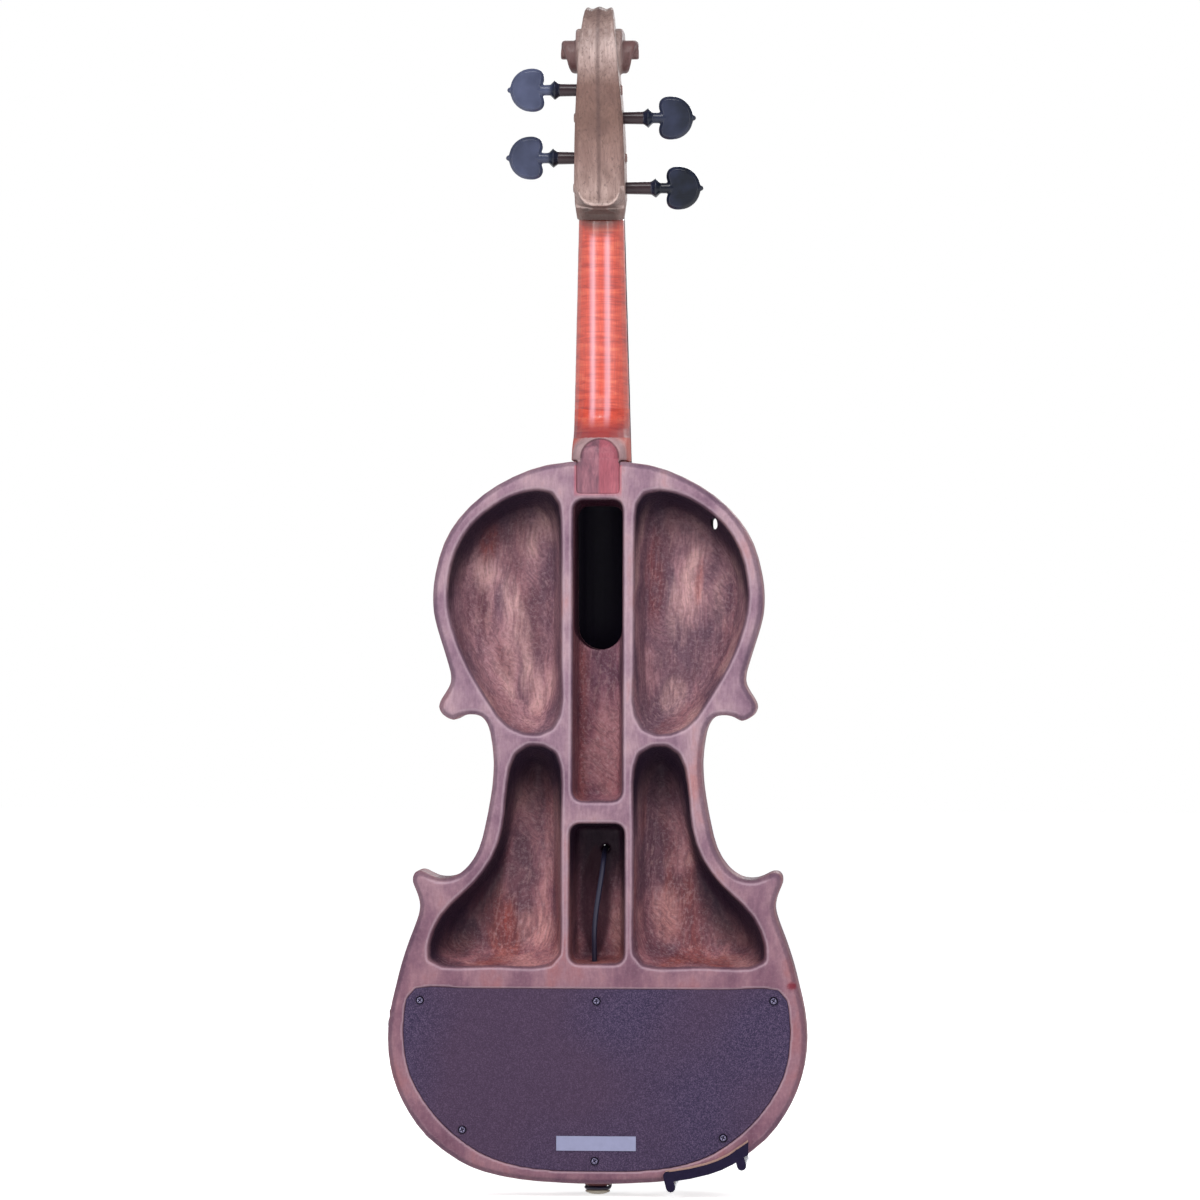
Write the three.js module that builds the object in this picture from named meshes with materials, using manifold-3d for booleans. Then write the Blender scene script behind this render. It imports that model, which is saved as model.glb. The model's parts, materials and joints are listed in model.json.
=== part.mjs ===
// Electric violin with a carved, open-backed solid body.
// Millimetres. X is to the right seen from the back, Y runs from the back to the front, and Z runs up to
// the scroll.
// The origin is the middle of the crossbar in the flat back face.

import * as THREE from 'three';
import { mergeVertices } from 'three/addons/utils/BufferGeometryUtils.js';
import Module from 'manifold-3d';

const wasm = await Module();
wasm.setup();

// Clearances and resolution

const seatGap = 0.3;        // glue lines and seats between touching pieces
const runGap = 0.1;         // radial clearance of a turning or sliding piece
const overrun = 3;          // how far a cutter passes the face that it cuts
const weldTolerance = 1e-4; // corners nearer than this are one
const capBow = 1e-6;        // see loft
const roundSides = 16;      // sides of a round piece that turns in a bore
const smallSides = 10;      // sides of small screws and posts
const screwSides = 8;       // sides of the smallest ones

// Body block

const body = {
  length: 356,
  top: 172.8,               // top edge above the crossbar
  halfWidth: 103.3,         // at the lower bout
  edge: 35,                 // thickness at the rim
  edgeRoundShare: 0.02517,  // of the half width
  archRise: 12,
  archDip: 0.6,             // how far the arch's border lies under the rim
  archSetback: 1.2,         // and how far inside the outline
  archSink: 5,              // depth of the arch's base inside the block
};
const bodyFoot = body.top - body.length;

// Half outline from the top centre round to the bottom centre:
// share of the half width, share of the length from the top
const outlineShares = [
  [0, 0], [0.243, 0.0055], [0.406, 0.0222], [0.549, 0.0471], [0.666, 0.0803], [0.735, 0.1136],
  [0.776, 0.1551], [0.788, 0.1842], [0.783, 0.2133], [0.752, 0.2465], [0.716, 0.2798], [0.699, 0.3047],
  [0.727, 0.3213], [0.757, 0.336], [0.753, 0.347], [0.722, 0.3555], [0.684, 0.3593], [0.65, 0.3535],
  [0.611, 0.3512], [0.558, 0.3534], [0.525, 0.365], [0.506, 0.3878], [0.496, 0.4169], [0.501, 0.446],
  [0.513, 0.471], [0.535, 0.504], [0.566, 0.5374], [0.62, 0.5623], [0.687, 0.576], [0.76, 0.5772],
  [0.811, 0.571], [0.845, 0.5668], [0.875, 0.571], [0.882, 0.583], [0.864, 0.5956], [0.845, 0.6163],
  [0.862, 0.6371], [0.895, 0.662], [0.933, 0.6953], [0.962, 0.7285], [0.988, 0.7618], [1, 0.799],
  [0.988, 0.8366], [0.955, 0.8698], [0.897, 0.903], [0.809, 0.9363], [0.656, 0.9695], [0.539, 0.984],
  [0.36, 0.9945], [0.18, 0.9985], [0, 1],
];
const outlineStepsPerPoint = 2;
const evenStep = 7.5;         // step along a pocket's or a cover's outline
const insetStep = 0.6;
const pocketEase = 0.5;

// Half width under the arch, without the corners: height share from the top, width share
const archWidthShares = [
  [0, 0.3], [0.06, 0.52], [0.18, 0.73], [0.3, 0.62], [0.4, 0.45], [0.5, 0.47], [0.62, 0.74], [0.8, 0.94],
  [0.92, 0.78], [1, 0.3],
];
const archCells = [12, 22];

// Carved pockets of the back, right-hand side: shares of the half width and of the length

const pocket = {
  upperDepth: 25,
  lowerDepth: 26,
  channelDepth: 22,
  cableDepth: 26,
  lip: 1.3,                 // soft edge round each mouth
  wallLeanShare: 0.08712,   // how far the floor's edge lies inside the mouth, of the half width
  steepLean: 3.2,           // the same in the narrow centre pockets
};
// depth share and lean share of each ring from the mouth to the floor
const pocketRingShares = [[0.07, 0], [0.45, 0.2], [0.82, 0.52], [1, 1]];

const upperPocketShares = [
  [0.182, 0.0596], [0.2, 0.0465], [0.267, 0.0402], [0.357, 0.0429], [0.444, 0.0526], [0.597, 0.0859],
  [0.685, 0.1288], [0.718, 0.1814], [0.706, 0.2175], [0.644, 0.2701], [0.535, 0.3269], [0.432, 0.367],
  [0.31, 0.3795], [0.22, 0.3726], [0.175, 0.3476], [0.174, 0.28], [0.174, 0.18], [0.175, 0.1],
];
const lowerPocketShares = [
  [0.174, 0.4238], [0.2, 0.402], [0.291, 0.3913], [0.363, 0.3961], [0.408, 0.4127], [0.434, 0.4543],
  [0.451, 0.5055], [0.494, 0.5457], [0.58, 0.5817], [0.692, 0.6122], [0.761, 0.6371], [0.804, 0.6717],
  [0.805, 0.6898], [0.75, 0.6987], [0.5, 0.6987], [0.239, 0.6987], [0.184, 0.69], [0.174, 0.67],
  [0.174, 0.6], [0.174, 0.51],
];
// Middle pockets: half widths as shares of the body's, heights as shares of its length from the top
const centre = {
  channelHalfShare: 0.12004,
  channelDown: 18.8,        // the channel's top under the body's top edge
  channelFootShare: 0.47079,
  channelCorner: 5,
  slotHalfShare: 0.1123,
  slotFootShare: 0.2618,
  cableHalfShare: 0.13069,
  cableShares: [0.5014, 0.69522],
  cableCorner: 4.6,
};
const sideHole = { shares: [0.55179, 0.09551], width: 2.6, height: 6.6 };

// Electronics cavity and its cover

const coverPlate = {
  thickness: 2,
  rebate: 2.3,
  fit: 0.35,                // clearance of the plate in its rebate
  seat: 0.1,
  round: 0.4,
  ledge: 10.5,              // wood under the plate's border
  cavityFloor: 27,
};
const coverShares = [
  [0, 0.9813], [0.191, 0.9806], [0.37, 0.9748], [0.539, 0.9591], [0.697, 0.9273], [0.816, 0.8885],
  [0.893, 0.847], [0.919, 0.8075], [0.919, 0.77], [0.9, 0.7395], [0.866, 0.7305], [0.6, 0.7299], [0, 0.7299],
];
const coverScrew = { head: 2.1, headHeight: 1.1, shank: 1.2, length: 11, hole: 1.55 };
// shares of the half width and of the length
const coverScrewShares = [
  [-0.843, 0.7465], [0, 0.7465], [0.843, 0.745], [-0.639, 0.9252], [0.605, 0.9342], [-0.007, 0.9673],
];

// Materials

const finish = (color, roughness, metalness = 0) =>
  new THREE.MeshStandardMaterial({ color, roughness, metalness });
const carvedWood = finish(0x8d6468, 0.55);
const neckWood = finish(0xd8694a, 0.25);
const headWood = finish(0x8f7262, 0.6);
const ebony = finish(0x17151a, 0.3);
const blackPlastic = finish(0x1b1a20, 0.4);
const coverPlastic = finish(0x463c57, 0.6);
const bone = finish(0xd9cfb8, 0.4);
const maple = finish(0xc9a26c, 0.5);
const steel = finish(0xb9bcc2, 0.3, 1);
const darkSteel = finish(0x2a2a30, 0.35, 0.9);
const cork = finish(0xb58a6a, 0.9);
const boardGreen = finish(0x1f5a3a, 0.5);
const batteryCase = finish(0x3a3d44, 0.4);
const cordBlack = finish(0x121216, 0.5);

const violin = new THREE.Group();

// Solids

// Merges shared corners and drops the flat triangles that a lathe leaves on its axis
function welded(geometry) {
  const bare = geometry.clone();
  bare.deleteAttribute('normal');
  bare.deleteAttribute('uv');
  const merged = mergeVertices(bare, weldTolerance);
  const corners = merged.index.array;
  const kept = [];
  for (let i = 0; i < corners.length; i += 3) {
    const [a, b, c] = corners.slice(i, i + 3);
    if (a !== b && b !== c && c !== a) kept.push(a, b, c);
  }
  merged.setIndex(kept);
  return merged;
}

function manifoldOf(geometry) {
  const merged = welded(geometry);
  const vertProperties = Float32Array.from(merged.attributes.position.array);
  const triVerts = Uint32Array.from(merged.index.array);
  return new wasm.Manifold(new wasm.Mesh({ numProp: 3, vertProperties, triVerts }));
}

function geometryOf(solid) {
  const mesh = solid.getMesh();
  const geometry = new THREE.BufferGeometry();
  geometry.setAttribute('position', new THREE.BufferAttribute(Float32Array.from(mesh.vertProperties), 3));
  geometry.setIndex(new THREE.BufferAttribute(Uint32Array.from(mesh.triVerts), 1));
  geometry.computeVertexNormals();
  return geometry;
}

function join(...geometries) {
  return geometryOf(geometries.map(manifoldOf).reduce((whole, piece) => whole.add(piece)));
}

function cut(geometry, ...cutters) {
  const whole = manifoldOf(geometry);
  return geometryOf(cutters.map(manifoldOf).reduce((left, cutter) => left.subtract(cutter), whole));
}

function common(geometry, other) {
  return geometryOf(manifoldOf(geometry).intersect(manifoldOf(other)));
}

function place(name, geometry, material, parent = violin) {
  const mesh = new THREE.Mesh(geometry, material);
  mesh.name = name;
  parent.add(mesh);
  return mesh;
}

// A closed solid through rings of equal count; flat(point) gives a ring's own plane for its end caps
function loft(rings, flat) {
  const count = rings[0].length;
  const positions = rings.flat().flatMap((point) => [point.x, point.y, point.z]);
  const triangles = [];
  for (let ring = 0; ring + 1 < rings.length; ring += 1) {
    for (let i = 0; i < count; i += 1) {
      const next = (i + 1) % count;
      const a = ring * count + i;
      const b = ring * count + next;
      triangles.push(a, b, a + count, b, b + count, a + count);
    }
  }
  // Bowed by a hair, because the triangulation would skip a point on a straight line
  const bowed = ({ x, y }) => new THREE.Vector2(x + capBow * y * y, y + capBow * x * x);
  const cap = (ring, start, opposite) => {
    const outline = ring.map(flat).map(bowed);
    const clockwise = THREE.ShapeUtils.area(outline) < 0;
    const order = outline.map((point, i) => i);
    if (clockwise) order.reverse();
    for (const corners of THREE.ShapeUtils.triangulateShape(order.map((i) => outline[i]), [])) {
      const face = corners.map((i) => order[i] + start);
      triangles.push(...(clockwise === opposite ? face : face.reverse()));
    }
  };
  cap(rings[0], 0, true);
  cap(rings[rings.length - 1], (rings.length - 1) * count, false);
  const geometry = new THREE.BufferGeometry();
  geometry.setAttribute('position', new THREE.Float32BufferAttribute(positions, 3));
  geometry.setIndex(triangles);
  return facingOut(geometry);
}

// Turns a closed mesh whose faces point in the right way out
function facingOut(geometry) {
  const at = geometry.attributes.position;
  const index = geometry.index.array;
  const [a, b, c] = [new THREE.Vector3(), new THREE.Vector3(), new THREE.Vector3()];
  let volume = 0;
  for (let i = 0; i < index.length; i += 3) {
    a.fromBufferAttribute(at, index[i]);
    b.fromBufferAttribute(at, index[i + 1]);
    c.fromBufferAttribute(at, index[i + 2]);
    volume += a.dot(b.cross(c));
  }
  if (volume < 0) {
    const turned = Array.from(index);
    turned.reverse();
    geometry.setIndex(turned);
  }
  return geometry;
}

function box(fromX, toX, fromY, toY, fromZ, toZ) {
  const geometry = new THREE.BoxGeometry(toX - fromX, toY - fromY, toZ - fromZ);
  geometry.translate((fromX + toX) / 2, (fromY + toY) / 2, (fromZ + toZ) / 2);
  return geometry;
}

// A plate whose outline lies in X and Z, between two depths
function slab(outline, fromY, toY, bevel = 0, bevelSegments = 1) {
  const geometry = new THREE.ExtrudeGeometry(new THREE.Shape(outline), {
    depth: toY - fromY - 2 * bevel,
    bevelEnabled: bevel > 0,
    bevelSize: bevel,
    bevelOffset: -bevel,
    bevelThickness: bevel,
    bevelSegments,
  });
  geometry.rotateX(Math.PI / 2);
  geometry.translate(0, toY - bevel, 0);
  return geometry;
}

// A round piece from its profile of [radius, distance along the axis]; the axis is x, y or z
function turned(profile, axis, sides) {
  const geometry = new THREE.LatheGeometry(profile.map(([r, along]) => new THREE.Vector2(r, along)), sides);
  if (axis === 'x') geometry.rotateZ(-Math.PI / 2);
  if (axis === 'z') geometry.rotateX(Math.PI / 2);
  return facingOut(welded(geometry));
}

function rod(radius, from, to, axis, sides = smallSides) {
  return turned([[0, from], [radius, from], [radius, to], [0, to]], axis, sides);
}

function at(geometry, x, y, z) {
  geometry.translate(x, y, z);
  return geometry;
}

// Outlines

const heightOf = (share) => body.top - share * body.length;
const ofBody = ([w, d]) => new THREE.Vector2(w * body.halfWidth, heightOf(d));

const closedCurve = (points) =>
  new THREE.CatmullRomCurve3(points.map((p) => new THREE.Vector3(p.x, p.y, 0)), true, 'centripetal');
const inTwo = (points) => points.slice(0, -1).map((p) => new THREE.Vector2(p.x, p.y));

// A smooth closed outline through the points, with more steps where the points are close
const smoothClosed = (points) => inTwo(closedCurve(points).getPoints(points.length * outlineStepsPerPoint));

// The same with steps of one length
function evenClosed(points) {
  const curve = closedCurve(points);
  return inTwo(curve.getSpacedPoints(2 * Math.round(curve.getLength() / evenStep / 2)));
}

const mirrored = (points) => points.map((p) => new THREE.Vector2(-p.x, p.y)).reverse();

// Both halves of a symmetric outline whose first and last points are on the centre line
const symmetric = (half) => [...half, ...mirrored(half.slice(1, -1))];

// Moves an outline inwards; ease, from 0 to 1, rounds it on the way, so that tight corners don't cross
function inset(points, distance, ease = 0) {
  const sign = THREE.ShapeUtils.area(points) > 0 ? 1 : -1;
  const steps = ease > 0 ? Math.ceil(Math.abs(distance) / insetStep) : 1;
  let ring = points;
  for (let step = 0; step < steps; step += 1) {
    const before = (i) => ring[(i + ring.length - 1) % ring.length];
    const after = (i) => ring[(i + 1) % ring.length];
    ring = ring.map((point, i) => {
      const along = after(i).clone().sub(before(i)).normalize().multiplyScalar(sign * distance / steps);
      return new THREE.Vector2(point.x - along.y, point.y + along.x);
    });
    ring = ring.map((point, i) => point.clone().lerp(before(i).clone().lerp(after(i), 0.5), ease));
  }
  return ring;
}

// A rectangle with round corners; where a radius is the half width, that end is a half circle
function roundedRectangle(halfWidth, foot, top, topRadius, footRadius = topRadius, arcSteps = 4) {
  const points = [];
  for (const [side, radius, z, quarter] of [
    [1, topRadius, top - topRadius, 0], [-1, topRadius, top - topRadius, 1],
    [-1, footRadius, foot + footRadius, 2], [1, footRadius, foot + footRadius, 3],
  ]) {
    for (let i = 0; i <= arcSteps; i += 1) {
      const angle = (quarter + i / arcSteps) * Math.PI / 2;
      const reach = side * (halfWidth - radius) + radius * Math.cos(angle);
      points.push(new THREE.Vector2(reach, z + radius * Math.sin(angle)));
    }
  }
  return points.filter((point, i) => point.distanceTo(points[(i + 1) % points.length]) > weldTolerance);
}

const inPlane = (points, y) => points.map((p) => new THREE.Vector3(p.x, y, p.y));
const acrossY = (point) => new THREE.Vector2(point.x, point.z);
const acrossZ = (point) => new THREE.Vector2(point.x, point.y);

// Body

function archAt(x, z) {
  const share = (body.top - z) / body.length;
  const last = archWidthShares.length - 1;
  const step = archWidthShares.findIndex(([d], i) => i < last && share <= archWidthShares[i + 1][0]);
  const [fromShare, fromWidth] = archWidthShares[Math.max(step, 0)];
  const [toShare, toWidth] = archWidthShares[Math.max(step, 0) + 1];
  const local = THREE.MathUtils.clamp((share - fromShare) / (toShare - fromShare), 0, 1);
  const widthShare = THREE.MathUtils.lerp(fromWidth, toWidth, THREE.MathUtils.smoothstep(local, 0, 1));
  const half = body.halfWidth * widthShare;
  const across = THREE.MathUtils.clamp(1 - (x / half) ** 2, 0, 1);
  const along = 1 - (2 * share - 1) ** 4;
  return body.edge - body.archDip + (body.archRise + body.archDip) * across * along;
}

function archedBlock() {
  const [columns, rows] = archCells;
  const xAt = (i) => body.halfWidth * (2 * i / columns - 1);
  const zAt = (j) => body.top - body.length * (1 - j / rows);
  const rings = [];
  for (let j = 0; j <= rows; j += 1) {
    const ring = [];
    const z = zAt(j);
    for (let i = 0; i <= columns; i += 1) ring.push(new THREE.Vector3(xAt(i), archAt(xAt(i), z), z));
    for (let i = columns; i >= 0; i -= 1) ring.push(new THREE.Vector3(xAt(i), body.edge - body.archSink, z));
    rings.push(ring);
  }
  return loft(rings, acrossZ);
}

function pocketCutter(outline, depth, lean, ease = 0) {
  const rings = [inPlane(inset(outline, -pocket.lip), -overrun), inPlane(inset(outline, -pocket.lip), 0)];
  for (const [depthShare, leanShare] of pocketRingShares) {
    rings.push(inPlane(inset(outline, lean * leanShare, ease), depth * depthShare));
  }
  return loft(rings, acrossY);
}

const bodyOutline = smoothClosed(symmetric(outlineShares.map(ofBody)));
const coverOutline = evenClosed(symmetric(coverShares.map(ofBody)));
const screwPlaces = coverScrewShares.map(ofBody);

// Neck frame: its origin is on the joint plane over the body's top edge, its z runs along the neck

const neck = {
  jointHeight: 42,          // fingerboard joint above the back plane, at the body's top edge
  angle: THREE.MathUtils.degToRad(6.2),
  length: 123,              // body edge to the nut
  halfWidthHeel: 14.5,
  halfWidthNut: 11.3,
  depthHeel: 16.5,
  depthNut: 14,
  tenonHalf: 10.1,
  tenonLength: 15.8,
  endGap: 1.5,              // between the shaft's end and the nut's lower face
};

const electronics = {
  jackShare: 0.79438,       // its height, as a share of the body's length
  jackDepth: 17,
  jackRadius: 5.4,
  jackBore: 3.25,
  jackLength: 25,
  jackPlateHalf: [11, 12],  // across the rib, along the rib
  jackPlate: 1.2,
  jackSeat: 2.1,            // depth of the plate's flat seat under the widest point
  jackFlange: 6.8,
  jackFlangeHeight: 1.2,
  jackBoreDepth: 20,
};
const pot = {
  placeShares: [[-0.58, 0.7955], [-0.58, 0.855]],
  radius: 8,
  height: 8,
  bushing: 3.6,
  bushingTop: 44,
  bore: 3.2,
  shaft: 3,
  shaftLength: 14,
  knob: 8,
  knobTop: 6.9,
  knobFoot: 43,
  knobHeight: 11,
  recess: 4.6,
  recessDepth: 2,
};
const saddle = { half: 17, foot: 0.9, height: 8, base: 32, top: 40, round: 2 };
const bridge = {
  share: 0.56966,           // its height, as a share of the body's length
  height: 33,
  half: 20.6,
  foot: 4.4,                // thickness at the feet
  crest: 1.6,               // and at the top
  crown: 42,
  heart: 2.4,
  kidney: 2.3,
};
const cable = {
  radius: 1.3,
  frontHole: [3, 11.5],     // across, above the bridge
  endHole: [-1.8, 15.5],    // across, in front of the back plane
  hole: 2.1,
  sides: 8,
  steps: 30,
};
const cord = { radius: 0.9, steps: 34 };
const button = {
  depth: 17,                // axis in front of the back plane
  shank: 3.8,
  shankLength: 14,
  collar: 6.5,
  collarHeight: 1.1,
  groove: 4.6,
  grooveHeight: 2.4,
  head: 6.15,
  headHeight: 2,
  face: 3.4,                // flat of the end
};

const bridgeZ = heightOf(bridge.share);
const jackHeight = heightOf(electronics.jackShare);
const potPlaces = pot.placeShares.map(ofBody);
const [bayTop, bayFoot] = centre.cableShares.map(heightOf);
const cavityTop = heightOf(coverShares.at(-1)[1]) - coverPlate.ledge;
const cavityMiddle = (cavityTop + heightOf(coverShares[0][1]) + coverPlate.ledge) / 2;

// Cutters for the six screws' holes between two depths
const screwHoles = (fromY, toY) =>
  screwPlaces.map((p) => at(rod(coverScrew.hole, fromY, toY, 'y', screwSides), p.x, 0, p.y));

function bodyGeometry() {
  const block = slab(bodyOutline, 0, body.edge, body.edgeRoundShare * body.halfWidth);
  const archTop = body.edge + body.archRise + overrun;
  const archClip = slab(inset(bodyOutline, body.archSetback), body.edge - 2 * body.archSink, archTop);
  const upper = evenClosed(upperPocketShares.map(ofBody));
  const lower = evenClosed(lowerPocketShares.map(ofBody));
  const channelHalf = centre.channelHalfShare * body.halfWidth;
  const channelTop = body.top - centre.channelDown;
  const slotHalf = centre.slotHalfShare * body.halfWidth;
  const bayHalf = centre.cableHalfShare * body.halfWidth;
  const channelFoot = heightOf(centre.channelFootShare);
  const channel = roundedRectangle(channelHalf, channelFoot, channelTop, centre.channelCorner);
  const cableBay = roundedRectangle(bayHalf, bayFoot, bayTop, centre.cableCorner);
  const slot = roundedRectangle(slotHalf, heightOf(centre.slotFootShare), channelTop - pocket.steepLean,
    centre.channelCorner, slotHalf);
  const wallLean = pocket.wallLeanShare * body.halfWidth;
  const oblong = roundedRectangle(sideHole.width / 2, 0, sideHole.height, sideHole.width / 2);
  const cavityOutline = inset(coverOutline, coverPlate.ledge, pocketEase);
  const [endX, endDepth] = cable.endHole;
  const [frontX, frontUp] = cable.frontHole;
  const holeAt = ofBody(sideHole.shares);
  const jackFace = -body.halfWidth + electronics.jackSeat;
  const [plateAcross, plateAlong] = electronics.jackPlateHalf;
  const cutters = [
    pocketCutter(upper, pocket.upperDepth, wallLean, pocketEase),
    pocketCutter(mirrored(upper), pocket.upperDepth, wallLean, pocketEase),
    pocketCutter(lower, pocket.lowerDepth, wallLean, pocketEase),
    pocketCutter(mirrored(lower), pocket.lowerDepth, wallLean, pocketEase),
    pocketCutter(channel, pocket.channelDepth, pocket.steepLean),
    pocketCutter(cableBay, pocket.cableDepth, pocket.steepLean),
    slab(slot, -overrun, archTop),
    at(slab(oblong, -overrun, archTop), holeAt.x, 0, holeAt.y),
    slab(inset(coverOutline, -coverPlate.fit), -overrun, coverPlate.rebate),
    slab(cavityOutline, -overrun, coverPlate.cavityFloor),
    box(-neck.tenonHalf - seatGap, neck.tenonHalf + seatGap, -overrun, archTop,
      body.top - neck.tenonLength - seatGap, body.top + overrun),
    at(rod(cable.hole, 0, archTop, 'y'), frontX, 0, bridgeZ + frontUp),
    at(rod(cable.hole, cavityTop - overrun, bayFoot + overrun, 'z'), endX, endDepth, 0),
    at(rod(electronics.jackRadius + runGap, -body.halfWidth - overrun, -body.halfWidth / 2, 'x', roundSides),
      0, electronics.jackDepth, jackHeight),
    box(-body.halfWidth - overrun, jackFace,
      electronics.jackDepth - plateAcross - seatGap, electronics.jackDepth + plateAcross + seatGap,
      jackHeight - plateAlong - seatGap, jackHeight + plateAlong + seatGap),
    at(rod(button.shank + runGap, -overrun, button.shankLength + seatGap, 'z', roundSides),
      0, button.depth, bodyFoot),
    box(-saddle.half - seatGap, saddle.half + seatGap, saddle.base - seatGap, archTop,
      bodyFoot - overrun, bodyFoot + saddle.foot + saddle.height + seatGap),
    ...potPlaces.map((p) => at(rod(pot.bushing + runGap, 0, archTop, 'y', roundSides), p.x, 0, p.y)),
    ...screwHoles(0, coverScrew.length + overrun),
  ];
  return cut(join(block, common(archedBlock(), archClip)), ...cutters);
}

place('body', bodyGeometry(), carvedWood);

// Neck, let into the body's top with a tenon

// along share of the neck's length; depth share, 0 the neck's own depth and 1 the back plane; squareness
const heelShares = [
  [-0.05, 1, 0.5], [0.04, 1, 0.5], [0.07, 0.985, 0.55], [0.092, 0.92, 0.65], [0.115, 0.72, 0.8],
  [0.15, 0.46, 0.9], [0.2, 0.22, 0.95], [0.29, 0.06, 1], [0.42, 0, 1], [0.7, 0, 1], [1, 0, 1],
];
const neckMatrix = new THREE.Matrix4().makeRotationX(neck.angle).setPosition(0, neck.jointHeight, body.top);
const neckArcSteps = 10;

const neckHalfAt = (along) =>
  THREE.MathUtils.lerp(neck.halfWidthHeel, neck.halfWidthNut, along / neck.length);

function neckSection(along, depthShare, power) {
  const own = THREE.MathUtils.lerp(neck.depthHeel, neck.depthNut, along / neck.length);
  const toBack = (neck.jointHeight - along * Math.sin(neck.angle)) / Math.cos(neck.angle);
  const depth = THREE.MathUtils.lerp(own, toBack, depthShare);
  const half = neckHalfAt(along);
  const ring = [];
  for (let i = 0; i <= neckArcSteps; i += 1) {
    const angle = Math.PI * i / neckArcSteps;
    const across = Math.cos(angle);
    const x = half * Math.sign(across) * Math.abs(across) ** power;
    ring.push(new THREE.Vector3(x, -depth * Math.abs(Math.sin(angle)) ** power, along));
  }
  return ring;
}

function neckGeometry() {
  const end = neck.length - neck.endGap;
  const sections = heelShares.map(([along, depth, power]) => neckSection(along * end, depth, power));
  const shaft = loft(sections, acrossZ);
  shaft.applyMatrix4(neckMatrix);
  const wide = 2 * neck.halfWidthHeel;
  const trim = box(-wide, wide, -overrun, 2 * neck.jointHeight,
    body.top - 2 * neck.tenonLength, body.top + seatGap);
  const tenon = box(-neck.tenonHalf, neck.tenonHalf, 0, neck.jointHeight - seatGap,
    body.top - neck.tenonLength, body.top + 2 * seatGap);
  return join(cut(shaft, trim), tenon);
}

place('neck', neckGeometry(), neckWood);

const neckGroup = new THREE.Group();
neckGroup.position.set(0, neck.jointHeight, body.top);
neckGroup.rotation.x = neck.angle;
violin.add(neckGroup);

// Fingerboard and nut

const board = { length: 264, edge: 4.6, crown: 42, hollow: 3.2, hollowStart: -12, hollowEnd: -22, rim: 2.4 };
const nut = { length: 5, rise: 0.8, drop: 3.2 };
const boardArcSteps = 8;

const boardTop = (x, half) => seatGap + board.edge + Math.sqrt(board.crown ** 2 - x ** 2)
  - Math.sqrt(board.crown ** 2 - half ** 2);

function boardSection(along, hollow, rise = 0) {
  const half = neckHalfAt(along);
  const ring = [];
  for (let i = 0; i <= boardArcSteps; i += 1) {
    const x = half * (1 - 2 * i / boardArcSteps);
    ring.push(new THREE.Vector3(x, boardTop(x, half) + rise, along));
  }
  for (let i = 0; i <= boardArcSteps; i += 1) {
    const x = half * (2 * i / boardArcSteps - 1);
    const inside = Math.max(0, 1 - (x / (half - board.rim)) ** 2);
    ring.push(new THREE.Vector3(x, seatGap + hollow * inside, along));
  }
  return ring;
}

const boardRings = [
  boardSection(neck.length - board.length, board.hollow),
  boardSection(board.hollowEnd, board.hollow),
  boardSection(board.hollowStart, 0),
  boardSection(neck.length, 0),
];
place('fingerboard', loft(boardRings, acrossZ), ebony, neckGroup);

const nutStart = neck.length + seatGap;
const nutRings = [
  boardSection(nutStart, 0, nut.rise),
  boardSection(nutStart + nut.length / 2, 0, nut.rise),
  boardSection(nutStart + nut.length, 0, -nut.drop),
];
place('nut', loft(nutRings, acrossZ), ebony, neckGroup);

// Head: pegbox and scroll

const head = {
  start: neck.length - neck.endGap + seatGap,
  length: 81,               // from its start to the scroll's eye
  eyeDepth: -12,
  depth: 25,
  halfWidth: 12.5,
  bevel: 2.6,
  cavityHalf: 7.6,
};
const eyeAlong = head.start + head.length;
const nutSeatEnd = nutStart + nut.length + 2 * seatGap;

// From -1 at the head's start through 0 behind the nut to 1 at the eye
const headAt = (share) => nutSeatEnd + share * (share < 0 ? nutSeatEnd - head.start : eyeAlong - nutSeatEnd);

// headAt share; front, back: shares of the depth; share of the half width. Round the chin also the shoulders'
// share of the depth, and the back's own share of the half width
const pegboxShares = [
  [-1, -0.01, -0.58, 0.91], [-0.602, 0, -0.66, 0.95], [-0.205, 0, -0.82, 0.98, -0.66, 0.46],
  [0, -0.01, -0.95, 1, -0.68, 0.54], [0.0131, 0.18, -0.985, 1, -0.7, 0.72], [0.045, 0.178, -1, 1, -0.78, 0.9],
  [0.085, 0.175, -1, 1, -0.89], [0.13, 0.172, -0.995, 1], [0.1776, 0.17, -0.99, 1],
  [0.3969, 0.06, -1.03, 0.98], [0.5833, -0.1, -1.14, 0.94], [0.7588, -0.32, -1.31, 0.87],
  [0.9123, -0.48, -1.44, 0.79], [1, -0.48, -1.47, 0.74],
];
// headAt share and share of the depth, round the hollow that holds the strings
const cavityShares = [
  [-0.03, 0.5], [-0.03, -0.2], [0.0464, -0.72], [0.1231, -0.8], [0.3972, -0.83], [0.5835, -0.95],
  [0.7369, -1.13], [0.8465, -1.2], [0.8739, -0.95], [0.8411, -0.6], [0.7808, -0.4], [0.726, 0], [0.6931, 0.5],
];
const scroll = {
  radius: 23.6,             // over the top
  backRadius: 24.9,
  shrinkShare: 0.542,       // of the radius in one turn
  earHalf: 19.2,
  hub: 0.7,
  eye: 2.6,
  bevel: 1,
  startShare: -0.11,        // of a turn
  endShare: 2.42,
  pieceShare: 0.97,
  stepsPerTurn: 20,
};
// turn, counted from the back over the top; share of the ear's half width
const scrollWidthShares = [
  [-0.2, 0.58], [0, 0.5], [0.125, 0.41], [0.25, 0.35], [0.5, 0.39], [0.75, 0.5], [1, 0.585], [1.25, 0.615],
  [1.5, 0.66], [1.75, 0.74], [2, 0.86], [2.25, 0.99], [2.5, 1],
];

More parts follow.
